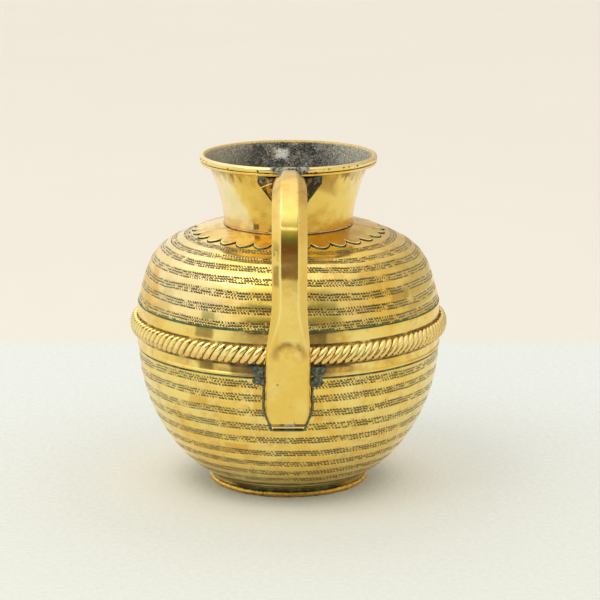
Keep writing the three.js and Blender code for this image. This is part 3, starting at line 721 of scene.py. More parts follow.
# rows are given by radius and height; stains and painted reflections as the belt's are
shoulder = {"rows": [(73.2, 182.2), (83, 178.3), (90.8, 173.7), (97.8, 166.5), (102.2, 157.7), (105.8, 147.0),
                     (108.3, 137.7)],
            "sags": (-3.4, -4.0, -3.7, -2.8, -2.2, -1.5, 0), "reach": 2.7, "pitch": 2.25, "groove": 0.3,
            "dents": 0.16, "dirt": "soot",
            "stainsAndReflections": [(-0.039, 0.1812, 0.0045, 0.0013, "olive"), (0.0385, 0.1803, 0.0045, 0.0013, "olive"),
                       (-0.055, 0.1425, 0.0042, 0.0026, "paleOlive"),
                       (-0.0935, 0.155, 0.0022, 0.009, "amber"), (0.078, 0.1515, 0.006, 0.003, "rust")]}
shoulderOut = evenly(shoulderLine, 1.15)
finishes["shoulder"] = chasedBrass("shoulderBrass", shoulder, 0.1, lengths(shoulderOut)[-1] + 9)
chasedShell("shoulder", shoulderOut, innerWall(shoulderOut), shoulder, ["shoulder", "tinning"],
            ["upper_shell"])

bowl = {"rows": [(108.7, 97.0), (107.6, 87), (105.5, 75.7), (102.6, 65.2), (98.6, 54.7), (92.8, 43.5),
                 (86, 33.5), (79.7, 25.6), (72.4, 17.8)],
        "sags": (0,) * 9, "reach": 2.9, "pitch": 2.45, "groove": 0.25, "dents": 0.16, "dirt": "bowlDirt",
        "stainsAndReflections": [(-0.0205, 0.087, 0.0032, 0.012, "amber"), (-0.062, 0.08, 0.006, 0.004, "amber"),
                   (-0.036, 0.0455, 0.008, 0.004, "amber"), (0.021, 0.078, 0.003, 0.009, "amber")],
        "base": [(46, 9.7), (0.01, 9.7), (0.01, 8.4), (46, 8.4)]}
bowlOut = evenly(bowlLine, 1.25)
bowlBack = np.vstack([innerWall(bowlOut), bowl["base"]])
finishes["bowl"] = chasedBrass("bowlBrass", bowl, 7.0, lengths(bowlOut)[-1])
chasedShell("bowl", bowlOut, bowlBack, bowl, ["bowl", "tinning"], ["lower_bowl"], 2)
print("shells made")


# belt, with a lip along its foot, and the solder behind it
belt = {"outline": [(109.3, 101.95), (109.85, 102.15), (110.0, 102.9), (109.85, 103.7), (109.35, 104.5),
                    (109.3, 105.6), (109.45, 109), (109.5, 118), (109.45, 127), (109.3, 131.5),
                    (109.15, 133.3), (108.9, 133.9)],
        "back": 108.2, "dents": 0.05,
        "filling": [(106.6, 116.2), (107.9, 116.2), (107.9, 119.6), (106.6, 119.6)]}
beltBack = [(belt["back"], body["beltHigh"]), (belt["back"], body["beltLow"])]
beltLine = np.vstack([through(belt["outline"], 5), beltBack])
turned("belt", beltLine, 360, ["belt"], ["belt_band"],
       ripple(beltLine[:, 1:], circle(360), belt["dents"], 8, 40))
turned("seamSolder", belt["filling"], 96, ["solder"], ["belt_seam_solder"])


# rope, one strand laid round the belt again and again; loose is in radians
rope = {"strands": 126, "middle": 117.9, "height": 13.0, "back": 109.8, "depth": 5.08, "lean": 12.4,
        "wide": 2.6, "thick": 2.1, "loose": 0.0035, "seed": 5, "steps": 15, "around": 8, "core": (2.2, 5.9)}


def strandMesh():
    share = np.linspace(0.015, 0.985, rope["steps"])
    swing, climb = np.sin(math.pi * share), np.cos(math.pi * share)
    radius = rope["back"] + (rope["depth"] - rope["thick"]) * swing ** 0.8
    height = rope["middle"] - (rope["height"] / 2 - 1.1) * climb
    angle = (share - 0.5) * rope["lean"] / (rope["back"] + rope["depth"])
    line = np.stack([radius * np.sin(angle), -radius * np.cos(angle), height], -1)
    run = unit(np.gradient(line, axis=0))
    out = np.stack([np.sin(angle) * swing, -np.cos(angle) * swing, -climb], -1)
    out = unit(out - run * np.sum(out * run, 1)[:, None])
    side, taper = np.cross(run, out), (swing ** 0.3)[:, None]
    points = [line + side * math.cos(a) * rope["wide"] * taper + out * math.sin(a) * rope["thick"] * taper
              for a in circle(rope["around"])]
    points = np.stack(points, 1).reshape(-1, 3) * 0.001
    mesh = bpy.data.meshes.new("strand")
    mesh.from_pydata(points.tolist(), [], tubeFaces(len(share), rope["around"]))
    writeMarks(mesh, {"strandSide": np.tile(np.abs(np.cos(circle(rope["around"]))), len(share)),
                      "strandShare": np.repeat(share, rope["around"])})
    return mesh


def layRope():
    given = {"Strand": ("Object", addObject("strand", strandMesh())), "Strands": ("Int", rope["strands"]),
             "Loose": ("Float", rope["loose"]), "Look": ("Material", finishes["rope"])}
    tree = bpy.data.node_groups.new("layRope", "GeometryNodeTree")
    for name, (kind, _) in given.items():
        tree.interface.new_socket(name, in_out="INPUT", socket_type="NodeSocket" + kind)
    tree.interface.new_socket("Geometry", in_out="OUTPUT", socket_type="NodeSocketGeometry")
    nodes = Nodes(tree)
    strand, strands, loose, look = nodes.outputs("NodeGroupInput")[:len(given)]
    stray = nodes.node("FunctionNodeRandomValue", {"data_type": "FLOAT"},
                       {2: -loose, 3: loose, "Seed": rope["seed"]}, out=1)
    turn = nodes.node("GeometryNodeInputIndex") / strands * (2 * math.pi) + stray
    spots = nodes.node("GeometryNodePoints", None, {"Count": strands})
    shape = nodes.node("GeometryNodeObjectInfo", None, {"Object": strand}, out="Geometry")
    lean = nodes.node("ShaderNodeCombineXYZ", None, {"Z": turn})
    laid = nodes.node("GeometryNodeInstanceOnPoints", None,
                      {"Points": spots, "Instance": shape, "Rotation": lean})
    real = nodes.node("GeometryNodeRealizeInstances", None, {0: laid})
    dressed = nodes.node("GeometryNodeSetMaterial", None, {"Geometry": real, "Material": look})
    nodes.node("NodeGroupOutput", None, {"Geometry": dressed})
    holder = addObject("ropeMaker", bpy.data.meshes.new("ropeMaker"))
    modifier = holder.modifiers.new("layRope", "NODES")
    modifier.node_group = tree
    for item in tree.interface.items_tree:
        if item.in_out == "INPUT":
            modifier[item.identifier] = given[item.name][1]
    mesh = bpy.data.meshes.new_from_object(holder.evaluated_get(bpy.context.evaluated_depsgraph_get()))
    for used in (holder, given["Strand"][1]):
        bpy.data.objects.remove(used)
    mesh.transform(Matrix.Translation((0, axisY, 0)))
    settle(addObject("rope", mesh), ["rope_moulding"])


layRope()
coreDeep, coreHigh = rope["core"]
core = [(rope["back"] + coreDeep * math.sin(a), rope["middle"] - coreHigh * math.cos(a))
        for a in np.linspace(0, math.pi, 9)]
turned("ropeCore", core, 180, ["dark"], [])


# neck, rolled outwards over a wire; the lip is beaten square towards the strip, by fuller
neck = {"bead": (61.7, 238.0), "outer": 2.0, "hollow": 1.2, "wire": 0.88, "lean": 149, "lipEnd": -145,
        "foot": 0.6, "footPull": (1.2, 14.6), "rimPull": 17.2, "fuller": 0.36, "fullerAt": -56,
        "fullerWide": 0.46, "dents": 0.1, "dentsFrom": 190, "dentsTo": 236}


def neckWall(inset, edge):
    top = arc(neck["bead"], edge, neck["lean"], neck["lean"], 1)[0]
    below = arc(top, neck["rimPull"], neck["lean"] + 90, neck["lean"] + 90, 1)[0]
    foot = np.array((body["neck"] - inset, body["neckFoot"] + neck["foot"]))
    return bezier(foot, foot + neck["footPull"], below, top, 56)


neckOut, neckIn = neckWall(0, neck["hollow"]), neckWall(body["sheet"], neck["outer"])
rolledIn = arc(neck["bead"], neck["hollow"], neck["lean"], neck["lipEnd"], 18)[1:]
rolledOut = arc(neck["bead"], neck["outer"], neck["lipEnd"], neck["lean"], 36)
lipTurn = np.radians(np.linspace(neck["lipEnd"], neck["lean"], 36))
beaten = neck["fuller"] * np.exp(-((lipTurn - math.radians(neck["fullerAt"])) / neck["fullerWide"]) ** 2)
rolledOut += np.column_stack([np.cos(lipTurn), np.sin(lipTurn)]) * beaten[:, None]
neckLine = np.vstack([neckOut, rolledIn, rolledOut, neckIn[::-1][1:]])
wallEnd, rollEnd = len(neckOut), len(neckOut) + len(rolledIn) + len(rolledOut)
neckSide = np.where(np.arange(len(neckLine)) < wallEnd, 1, -1.0)  # the same dents on both faces of the sheet
neckSide[wallEnd:rollEnd] = 0
neckHeights = neckLine[:, 1:]
neckWeight = neckSide[:, None] * np.clip((neck["dentsTo"] - neckHeights) / 6, 0, 1)
neckWeight *= np.clip((neckHeights - neck["dentsFrom"]) / 6, 0, 1)
turned("neck", neckLine, 320, ["neck", "tinning"], ["neck"],
       ripple(neckHeights, circle(320), neck["dents"], 12, 34) * neckWeight, (rollEnd - 7, len(neckLine)))
turned("rimWire", arc(neck["bead"], neck["wire"], 0, 345, 12), 96, ["dark"], ["rim_wire"])


def neckRadius(height):
    return np.interp(height, neckOut[:, 1], neckOut[:, 0]) + 0.2


strip = {"outline": [(62.3, 233.6), (62.9, 233.75), (63.25, 234.3), (63.35, 235.0), (63.2, 235.5),
                     (62.8, 235.7)],
         "dents": 0.07}
stripLow, stripHigh = strip["outline"][0][1], strip["outline"][-1][1]
stripLine = np.vstack([[(neckRadius(stripLow), stripLow)], through(strip["outline"], 3),
                       [(neckRadius(stripHigh), stripHigh)]])
turned("rimStrip", stripLine, 320, ["neck"], ["rim_strip"],
       ripple(stripLine[:, 1:], circle(320), strip["dents"], 10, 30) * (stripLine[:, :1] > 60))

seam = {"outline": [(46.3, 190.1), (46.95, 190.1), (46.95, 190.45), (46.7, 190.9), (46.3, 191.1)],
        "dents": 0.18}
seamLine = through(seam["outline"], 3)
turned("neckSeam", seamLine, 300, ["tanSolder"], ["neck_seam_solder"],
       ripple(seamLine[:, 1:], circle(300), seam["dents"], 14, 9))


# collar, its edge cut by hand in petals; reach and lift give its outline, out to the edge and back beneath
collar = {"petals": 29, "first": 2.3, "stray": 0.05, "inner": 46.4, "tip": 69.4, "cut": 8.0, "bow": 0.6,
          "steps": 18, "reach": [*np.linspace(0, 0.94, 14), 0.985, 1.0, 1.0, 0.985, 0.5, 0.0],
          "lift": [1.2] * 15 + [1.05, 0.4, 0.2, 0.2, 0.2],
          "line": 0.75, "lineOut": [-0.3, 0.35, 0.85, 1.0, 0.9, -0.3],
          "lineLift": [0.75, 0.7, 0.45, 0.2, -0.15, -0.15]}


def layCollar():
    # with a dark line along its edge
    petals = collar["petals"]
    column = lambda key: np.array(collar[key])[:, None]
    notches = collar["first"] / 360 * petals + np.arange(petals + 1)
    notches[:-1] += rng.uniform(-collar["stray"], collar["stray"], petals)
    notches[-1] = notches[0] + petals
    share = np.arange(collar["steps"]) / collar["steps"]
    angle = (notches[:-1, None] + np.diff(notches)[:, None] * share).ravel() * 2 * math.pi / petals
    tips = collar["tip"] - rng.uniform(0, 0.5, petals)
    cut = collar["cut"] * (1 - np.sin(math.pi * share) ** collar["bow"])
    edge = (tips[:, None] - cut[None]).ravel()
    radius = collar["inner"] + (edge[None] - collar["inner"]) * column("reach")
    height = shoulderHeight(radius) + column("lift")
    height += ripple(radius, angle[None], 0.07, 8, 30) * (column("lift") > 1)
    ringPiece("collar", radius, height, angle, ["collar"], ["scalloped_collar"],
              marks={"edgeShare": np.broadcast_to(column("reach"), radius.shape)}, sharp=50)
    width = collar["line"] * (1 + 0.9 * (1 - np.sin(math.pi * share)) ** 3)
    width = np.tile(width, petals) * (1 + ripple(0, angle, 0.2, 8, 1))
    radius = edge[None] + column("lineOut") * width
    height = shoulderHeight(radius) + column("lineLift")
    ringPiece("collarLine", radius, height, angle, ["tarnish"], [], sharp=60)


layCollar()


# foot: hollow-sided band on a wire ring, whose ends meet near the handle
foot = {"band": [(57.3, 4.6), (56.7, 5.6), (56.6, 6.6), (57.1, 7.7), (57.75, 8.3), (57.8, 9.2)],
        "bandBack": [(55.2, 9.1), (55.2, 4.6)], "ring": (56.0, 2.2), "wire": 2.2,
        "joint": -18.5, "jointDeep": 0.7, "jointWide": 0.55, "dents": 0.13,
        "solder": [(52.9, 8.9), (54.9, 7.0), (54.9, 9.0)]}
bandLine = np.vstack([through(foot["band"], 5), foot["bandBack"]])
turned("footBand", bandLine, 240, ["footBand"], ["foot_band"])
ringLine, ringTurn = arc(foot["ring"], foot["wire"], 0, 345, 24), circle(720)
off = (ringTurn - math.radians(foot["joint"]) + math.pi) % (2 * math.pi) - math.pi
pinch = -foot["jointDeep"] * np.exp(-(off * foot["ring"][0] / foot["jointWide"]) ** 2)
pinch = pinch + ripple(ringLine[:, 1:], ringTurn * 2, foot["dents"], 12, 30)
turned("footRing", ringLine, 720, ["foot"], ["foot_roll"], pinch * (ringLine[:, 1:] > 0.4))
turned("footSolder", foot["solder"], 120, ["solder"], ["foot_solder"])
print("turned pieces made")


# handle: three-faceted strap on a flat strip, along one line from the rim to the bowl
handle = {"seat": (64.0, 233.6), "out": (118.5, 185.0), "shift": handleX * 1000,
          "clear": (115.3, 117.9),  # just outside the rope
          "plateTop": 124.4, "plateFoot": 64.0, "tongue": 11.0, "tongueRun": 44, "tongueDeep": 5.0,
          "grip": 24.5, "gripFlat": 12.0, "gripDeep": 7.45, "plate": 31.7, "plateFlat": 28.4,
          "plateDeep": 5.2, "tip": 21.8, "corner": 14.6, "flare": (112, 158), "lip": 6.8, "cover": 1.4,
          "strip": 1.5, "turnUp": 1.9, "dip": 1.7, "dipAt": 125.0, "dipLong": 5.0,
          "bend": 0.042, "bendAt": 175.2, "bendEnd": 197, "steps": 200, "lastSteps": 22}


def handleLine():
    clear = handle["clear"]
    levels = np.arange(handle["plateFoot"], body["beltLow"])
    lean = np.min((clear[0] - bowlRadius(levels) - body["fit"]) / (clear[1] - levels))
    on = lambda z: np.array((clear[0] + lean * (z - clear[1]), z))
    seat, out, foot = np.array(handle["seat"]), np.array(handle["out"]), on(handle["plateTop"])
    drop = out[1] - foot[1]
    reach, fall = out - seat
    arch = bezier(seat, seat + (0.75 * reach, -1.5), out - (0, 0.72 * fall), out, 200)
    grip = bezier(out, out - (0, 0.35 * drop), on(foot[1] + 0.3 * drop), foot, 200)
    plate = np.linspace(foot, on(handle["plateFoot"]), 120)
    # the bend below the arch is quick, as hammered
    ease = lambda z, width: width * np.log1p(np.exp(z / width))
    for line in (arch, grip):
        turnIn = ease(line[:, 1] - handle["bendAt"], 1.1) - ease(line[:, 1] - handle["bendEnd"], 5)
        line[:, 0] -= handle["bend"] * turnIn * smoothShare(line[:, 0], 70, 110)
    return arch, evenly(np.vstack([arch, grip[1:], plate[1:]]), 0.4)


archLine, strapLine = handleLine()
strapFar = lengths(strapLine)


def onStrap(far):
    return np.array([np.interp(far, strapFar, strapLine[:, i]) for i in range(2)])


def strapSizes(far):
    # width over all and of the middle facet, depth, dip of the middle, and how far the end is turned up
    mix = lambda a, b, share: handle[a] + (handle[b] - handle[a]) * share
    z = onStrap(far)[1]
    tongue = math.sqrt(1 - (1 - min(far / handle["tongueRun"], 1)) ** 2)
    flare = 1 - smoothShare(z, *handle["flare"])
    corner = 1 - min((z - handle["plateFoot"]) / handle["corner"], 1)
    strap = mix("grip", "plate", flare)
    wide = handle["tongue"] + (strap - handle["tongue"]) * tongue
    wide += (handle["tip"] - wide) * corner
    flat = mix("gripFlat", "plateFlat", flare) * wide / strap
    deep = handle["tongueDeep"] + (mix("gripDeep", "plateDeep", flare) - handle["tongueDeep"]) * tongue
    dip = handle["dip"] * math.exp(-((z - handle["dipAt"]) / handle["dipLong"]) ** 2)
    return wide, flat, deep, dip, smoothShare(far, strapFar[-1] - 1.5, strapFar[-1] - 0.8)


def rounded(corners, radii, each=5):
    # a closed outline with its corners eased
    made, n = [], len(corners)
    for i, radius in enumerate(radii):
        here, before, after = (np.array(corners[j % n], float) for j in (i, i - 1, i + 1))
        back, on = before - here, after - here
        a = here + back * min(radius / np.linalg.norm(back), 0.45)
        b = here + on * min(radius / np.linalg.norm(on), 0.45)
        made += [(1 - t) ** 2 * a + 2 * t * (1 - t) * here + t * t * b for t in np.linspace(0, 1, each)]
    return np.array(made)


# each outline comes with its creases and its edges
def coverOutline(wide, flat, deep, dip, end):
    seat, sheet = handle["strip"] + body["fit"], handle["cover"]
    edge, crease, under = wide / 2 - 1.4 * sheet, flat / 2 - 0.4 * sheet, deep - sheet - max(0, dip - 0.4)
    corners = [(-wide / 2, seat), (-flat / 2, deep), (-flat / 4, deep - dip), (flat / 4, deep - dip),
               (flat / 2, deep), (wide / 2, seat), (edge, seat), (crease, under), (-crease, under),
               (-edge, seat)]
    radii = (0.5, 0.95, 2.2, 2.2, 0.95, 0.5, 0.1, 0.5, 0.5, 0.1)
    return rounded(corners, radii), (corners[1], corners[4]), (corners[0], corners[5])


def stripOutline(wide, flat, deep, dip, end):
    half, high = wide / 2 - body["fit"], handle["strip"] + handle["turnUp"] * end
    corners = [(-half, 0), (-half + 0.8 * end, high), (half - 0.8 * end, high), (half, 0)]
    return rounded(corners, (0.4,) * 4, 4), corners[1:3], corners[::3]


def strapPiece(name, length, outline, looks, nodes):
    rings, marks, last = [], [], length - 8  # steps are closer together after last
    steps = np.linspace(0, last, handle["steps"], endpoint=False)
    for far in [*steps, *np.linspace(last, length, handle["lastSteps"])]:
        place, run = onStrap(far), unit(onStrap(far + 0.5) - onStrap(far - 0.5))
        shift = handle["shift"] * smoothShare(place[1], *handle["flare"])
        shape, creases, edges = outline(*strapSizes(far))
        marks.append([np.min([np.hypot(*(shape - spot).T) for spot in spots], axis=0)
                      for spots in (creases, edges)])
        rings.append(np.column_stack([shift + shape[:, 0], -(place[0] - shape[:, 1] * run[1]),
                                      place[1] + shape[:, 1] * run[0]]))
    marks = np.array(marks)
    loftPiece(name, rings, looks, nodes, marks={"creaseAway": marks[:, 0], "edgeAway": marks[:, 1]})


strapPiece("handle", strapFar[-1] - handle["lip"], coverOutline, ["handle"],
           ["handle_cover"])
strapPiece("handleStrip", strapFar[-1], stripOutline, ["strip"], ["handle_back_plate"])


# bracket under the rim, folded from one sheet: upright at the sides, down to its tip in the middle
gusset = {"half": 22.0, "top": 233.0, "side": 5.5, "tip": 197.1, "reach": 80.0, "sideReach": 64.7,
          "seat": 8.0, "sheet": 1.0, "upright": 0.8, "under": 0.4, "sag": 0.8, "steps": 9}


def gussetEnds(share, inset):
    # a line from the neck to the handle, at a share from -1 at the left to 1 at the right
    up, side, deeper = gusset["upright"], min(abs(share) / gusset["upright"], 1), inset * 1.6
    if abs(share) > up:
        height = gusset["top"] - gusset["side"] * (1 - abs(share)) / (1 - up)
    else:
        height = gusset["tip"] + (gusset["top"] - gusset["side"] - gusset["tip"]) * side + deeper * (1 - side)
    across = handle["shift"] + math.copysign(side, share) * (gusset["half"] - inset)
    atNeck = np.array((across, -math.sqrt(neckRadius(height) ** 2 - across ** 2), height))
    reach = gusset["reach"] - deeper + (gusset["sideReach"] - gusset["reach"] + deeper) * abs(share)
    seat = handle["shift"] + math.copysign(side, share) * (gusset["seat"] - inset)
    atHandle = np.array((seat, -reach, np.interp(reach, archLine[:, 0], archLine[:, 1]) - gusset["under"]))
    bow = np.linspace(0, 1, gusset["steps"])[:, None]
    line = atNeck + (atHandle - atNeck) * bow
    line[:, 2] -= np.sin(math.pi * bow[:, 0]) * gusset["sag"]
    return line


shares = np.concatenate([np.linspace(-1, -0.02, 24), np.linspace(0.02, 1, 24)])
gussetRings = [np.vstack([gussetEnds(s, 0), gussetEnds(s, gusset["sheet"])[::-1]]) for s in shares]
loftPiece("gusset", gussetRings, ["dark"], ["handle_gusset"])


def beadRing(here, run, out, wide, high):
    # a ring of points round a bead that runs one way and stands out another
    run = unit(run)
    out = unit(out - run * out.dot(run))
    side = np.cross(run, out)
    return np.array([here + math.cos(a) * side * wide + math.sin(a) * out * high for a in circle(10)])


def bead(name, route, across, out, thick, looks, nodes, seed=0):
    # a run of metal or dirt along a route, thinner at its ends; across is its width against its thickness
    rings, last = [], len(route) - 1
    for i, here in enumerate(route):
        run = route[min(i + 1, last)] - route[max(i - 1, 0)]
        size = thick * (1 + 0.35 * noise.noise(Vector(here) * 0.35 + Vector((0, seed, 0))))
        size *= min(1, 0.35 + 0.2 * min(i, last - i))
        rings.append(beadRing(here, run, out[i], size * across, size))
    loftPiece(name, rings, looks, nodes)


gussetEdge = np.array([gussetEnds(s, 0)[0] for s in shares])
bead("gussetLine", gussetEdge, 1.1, gussetEdge * (1, 1, 0), 0.62, ["tarnish"], [])
curl = through([(-20.6, -61.5, 225.6), (-17.6, -65.0, 227.2), (-14, -68.0, 229.2), (-10.6, -70.3, 230.4)], 8)
bead("gussetCurl", curl, 0.8, np.tile([0.0, -1.0, 0.3], (len(curl), 1)), 0.55, ["plain"], [], 3)


# lumps of solder beside the handle: place across and up, size across, out and up, and the solid each replaces
lumps = {"beltLumpLeft": ((-19.4, 107.6), (9.5, 2.2, 8.4), "belt_solder_left"),
         "beltLumpRight": ((19.8, 107.6), (10.5, 2.2, 8.0), "belt_solder_right"),
         "bowlLumpLeft": ((-19.2, 100.4), (8.6, 2.4, 7.0), "bowl_solder_left"),
         "bowlLumpRight": ((19.4, 100.2), (9.0, 2.4, 7.8), "bowl_solder_right")}
# coarse and fine roughness, each with how close together it is, and where a lump's top is cut off
lumpSkin = {"coarse": (0.55, 3.4), "fine": (0.22, 9), "cut": -0.3}


def layLump(name, spot, size, node, seed):
    turn, away = math.asin(spot[0] / body["belly"]), body["belly"] + 0.6
    out = Vector((math.sin(turn), -math.cos(turn), 0))
    centre = out * away + Vector((0, 0, spot[1]))
    across = Vector((-out.y, out.x, 0))
    up = out.cross(across)
    (coarse, wide), (fine, close) = lumpSkin["coarse"], lumpSkin["fine"]
    build = bmesh.new()
    bmesh.ops.create_icosphere(build, subdivisions=4, radius=0.5)
    for vertex in build.verts:
        p = vertex.co.copy()
        p *= (1 + coarse * noise.noise(p * wide + Vector((seed, 0, 0)))
              + fine * noise.noise(p * close + Vector((0, seed, 0))))
        p.z = max(p.z, lumpSkin["cut"])
        vertex.co = centre + across * p.x * size[0] + out * p.y * size[1] - up * p.z * size[2]
    points = [list(v.co) for v in build.verts]
    faces = [[v.index for v in f.verts] for f in build.faces]
    build.free()
    meshPiece(name, points, faces, ["darkSolder"], [node], outwards=True)


for i, (name, (spot, size, node)) in enumerate(lumps.items()):
    layLump(name, spot, size, node, i * 7.3)


# solder over the rolled edge; side pieces have a leg down beside the handle
rimSolder = {"inner": 5.5, "outer": 13.9, "top": 5.6, "thick": 0.62, "foot": 233.2, "rise": 5.2,
             "radius": 63.7, "rings": 30, "points": 20}
rimPieces = [("rimSolderLeft", -rimSolder["outer"], -rimSolder["inner"], True, "rim_solder_left", 1.0),
             ("rimSolderRight", rimSolder["inner"], rimSolder["outer"], True, "rim_solder_right", 4.0),
             ("rimSolderTop", -rimSolder["top"], rimSolder["top"], False, "rim_solder_top", 8.0)]


def layRimSolder(name, start, end, leg, node, seed):
    over = arc(neck["bead"], neck["outer"] + 0.05, 118, 0, 12)
    inner, outer, rings = rimSolder["inner"], rimSolder["outer"], []
    for share in np.linspace(0, 1, rimSolder["rings"]):
        side, line = start + (end - start) * share, over
        if leg:
            away = min(max((abs(side) - inner) / (outer - inner), 0), 1)
            low = rimSolder["foot"] + rimSolder["rise"] * away ** 0.8
            down = np.linspace(min(low + 1.5, 237.5), low, 7)
            line = np.vstack([over[over[:, 1] > low], [(over[-1][0], z) for z in down]])
        line = evenly(line, 0.2)
        line = line[np.linspace(0, len(line) - 1, rimSolder["points"]).astype(int)]
        way = line - neck["bead"]
        way[line[:, 1] < neck["bead"][1]] = (1, 0)
        way = unit(way)
        # thin at its borders
        border = math.sin(math.pi * min(max(share, 0.02), 0.98)) ** 0.35
        top = []
        for i, (p, w) in enumerate(zip(line, way)):
            fade = math.sin(math.pi * (i + 0.6) / (len(line) + 0.2)) ** 0.4
            puff = 1 + 0.35 * noise.noise(Vector((side * 0.5, i * 0.35, seed)))
            top.append(p + w * rimSolder["thick"] * border * fade * puff)
        loop = np.vstack([top, (line - way * 0.02)[::-1]])
        turn = (handle["shift"] + side) / rimSolder["radius"]
        rings.append(np.column_stack([loop[:, 0] * math.sin(turn), -loop[:, 0] * math.cos(turn), loop[:, 1]]))
    loftPiece(name, rings, ["paleSolder"], [node], 60)


for piece in rimPieces:
    layRimSolder(*piece)


# a bead of solder round the lower end of the handle, as far up as top
edgeSolder = {"side": 0.9, "tip": 0.6, "below": 0.9, "top": 97.2, "thick": 0.75, "wide": 1.25, "high": 0.9,
              "off": 0.35}


def layEdgeSolder():
    half, tip = handle["plate"] / 2 + edgeSolder["side"], handle["tip"] / 2 + edgeSolder["tip"]
    low, corner = handle["plateFoot"] - edgeSolder["below"], handle["plateFoot"] + handle["corner"]
    top = edgeSolder["top"]
    side = [(half, top), (half, (top + corner) / 2), (half, corner), ((half + tip) / 2, (corner + low) / 2),
            (tip, low + 0.6), (tip - 1.2, low)]
    route = through([(-x, z) for x, z in side] + [(0, low)] + side[::-1], 10)
    rings, last = [], len(route) - 1
    for i, (x, z) in enumerate(route):
        wall = bowlRadius(z) + edgeSolder["off"]
        here = np.array((x, -math.sqrt(wall ** 2 - x ** 2), z))
        ahead = route[min(i + 1, last)] - route[max(i - 1, 0)]
        thick = edgeSolder["thick"] * (1 + 0.35 * noise.noise(Vector((x * 0.35, 0, z * 0.35))))
        rings.append(beadRing(here, np.array((ahead[0], 0, ahead[1])), here * (1, 1, 0) / wall,
                              thick * edgeSolder["wide"], thick * edgeSolder["high"]))
    loftPiece("plateSolder", rings, ["slateSolder"], ["handle_edge_solder"])


layEdgeSolder()
print("handle and solder made")


# stage and light; metres, and degrees round the pot from its handle
stage = {"floor": (0.83, 0.855, 0.79), "far": (0.85, 0.885, 0.87), "wall": (0.885, 0.84, 0.745), "bend": 0.41,
         "foot": (0.95, 0.955, 0.90), "beyond": (0.58, 0.52, 0.41), "frontEdge": -1.33, "half": 14}
room = {"air": (0.99, 0.97, 0.93), "left": (1.0, 0.98, 0.93), "right": (0.78, 0.70, 0.55),
        "behind": (0.6, 0.53, 0.41), "strip": (0.28, 0.27, 0.12),
        "strips": ((-69, -58, 0.7), (-118, -107, 0.4), (54, 60, 0.3), (104, 120, 0.35)),
        "zone": 34, "dark": (0.16, 0.085, 0.045), "dim": (0.13, 0.15, 0.08), "green": (0.42, 0.46, 0.26),
        "lamp": (1.5, 1.45, 1.2), "pale": (1.2, 1.15, 0.95), "screen": (0.27, 0.265, 0.14),
        "sky": (1.5, 1.47, 1.4)}
lamp = {"spot": (-0.8, -0.6, 1.6), "aim": (0, 0, 0.12), "size": 1.0, "power": 4, "colour": (1, 0.98, 0.95)}


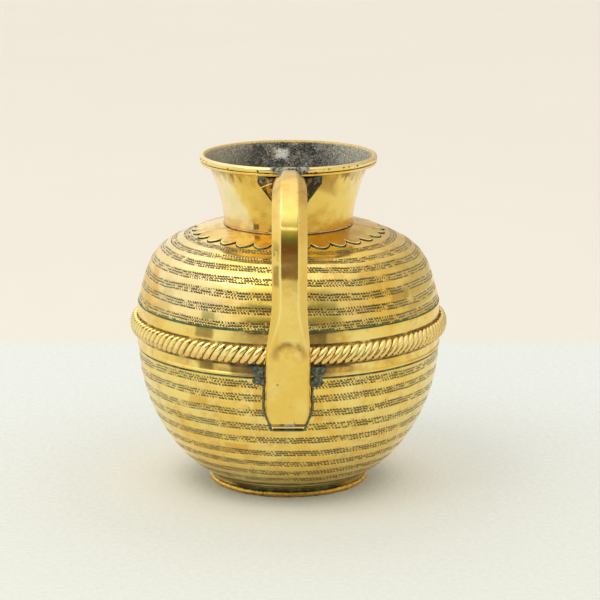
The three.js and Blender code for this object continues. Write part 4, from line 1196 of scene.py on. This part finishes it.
def makeFloor():
    # the floor turns into a wall behind the pot; it is painted lighter round the pot's foot, and for
    # reflections only it is painted dark in front, where the room is dark, and darker far behind
    dim = lambda tone, share: tuple(c * share for c in tone)
    finish = Finish("floor")
    spot = finish.node("ShaderNodeTexCoord", out="Object")
    x, y, z = finish.split(spot)
    grain, glossy = finish.cloud(0.004, 4, 0.6, spot), finish.ray("Glossy")
    finish.colour = finish.blend(y.rise(-0.3, 0.35), stage["floor"], stage["far"])
    finish.lay(grain.rise(0.3, 0.7) * 0.5, dim(stage["floor"], 0.9))
    far = finish.calc("SQRT", x.squared() + (y - axisY).squared())
    # painted light: a paler ring on the floor round the foot, lifting the pot's shadow
    finish.lay(far.rise(0.066, 0.09) * far.rise(0.17, 0.1) * 0.65, stage["foot"])
    wall = finish.blend(finish.cloud(0.3, 3, 0.5, spot), stage["wall"], dim(stage["wall"], 0.97))
    aisle = (abs(x) / (y + 1.8)).rise(0.34, 0.22).orMore(1 - finish.ray("Camera"))  # no wall far to the sides
    finish.lay(y.rise(stage["bend"] - 0.006, stage["bend"] + 0.01) * aisle, wall)
    # painted reflections: seen only in glossy rays, darker far behind on the right and dark in front
    finish.lay(y.rise(0.9, 1.8) * glossy * (0.3 + 0.7 * (x / y).rise(0.1, 0.4)), stage["beyond"])
    zone = (abs(x) + y * math.tan(math.radians(room["zone"]))).rise(0.08, -0.02)
    finish.lay(y.rise(stage["frontEdge"] + 0.01, stage["frontEdge"] - 0.01) * zone * glossy, room["dark"])
    finish.metal(0.8, 0.0, finish.bump(grain, 0.0006))
    mesh, half = bpy.data.meshes.new("floor"), stage["half"]
    corners = [(-half, -half, 0), (half, -half, 0), (half, half, 0), (-half, half, 0)]
    mesh.from_pydata(corners, [], [(0, 1, 2, 3)])
    mesh.materials.append(finish.made)
    floor = addObject("floor", mesh)


def makeWorld():
    # a pale room, open above, darker in front of the pot
    finish = Finish("room", True)
    x, y, z = finish.split(finish.node("ShaderNodeTexCoord", out="Generated"))
    side = finish.calc("ARCTAN2", x, -y) * (180 / math.pi)
    finish.colour = finish.blend(side.rise(-30, 70), room["left"], room["right"])
    finish.lay((side.rise(100, 125) * 0.9).orMore((-side).rise(115, 140) * 0.1), room["behind"])
    for start, end, share in room["strips"]:
        strip = side.rise(start - 1.5, start + 1.5) * side.rise(end + 1.5, end - 1.5)
        finish.lay(strip * z.rise(0.3, 0.12) * share, room["strip"])
    front = finish.blend(z.rise(0.08, 0.14), room["dark"], room["dim"])
    front = finish.blend(z.rise(0.14, 0.34), front, room["green"])
    front = finish.blend(abs(z - 0.39).rise(0.035, 0.02), front, room["lamp"])
    front = finish.blend(z.rise(0.41, 0.85), front, room["pale"])
    finish.lay(abs(side).rise(room["zone"] + 3, room["zone"] - 3) * z.rise(0.85, 0.6), front)
    screen = side.rise(10, 16) * side.rise(42, 36) * z.rise(-0.02, 0.03) * z.rise(0.82, 0.7)
    finish.lay(screen * 0.65, room["screen"])
    finish.lay(z.rise(0.3, 0.9) * (-x).rise(-0.9, 0.4), room["sky"])
    finish.colour = finish.blend(finish.ray("Glossy"), room["air"], finish.colour)
    finish.lay(finish.ray("Camera"), stage["wall"])
    back = finish.node("ShaderNodeBackground", None, {"Color": finish.colour})
    finish.node("ShaderNodeOutputWorld", None, {"Surface": back})
    bpy.context.scene.world = finish.made


def makeLamp():
    data = bpy.data.lights.new("key", "AREA")
    data.shape, data.size, data.energy, data.color = "DISK", lamp["size"], lamp["power"], lamp["colour"]
    made = addObject("key", data)
    made.location = lamp["spot"]
    made.rotation_euler = (Vector(lamp["aim"]) - Vector(lamp["spot"])).to_track_quat("-Z", "Y").to_euler()


makeFloor()
makeWorld()
makeLamp()
print("stage made")

bpy.context.scene.view_settings.view_transform = "Standard"
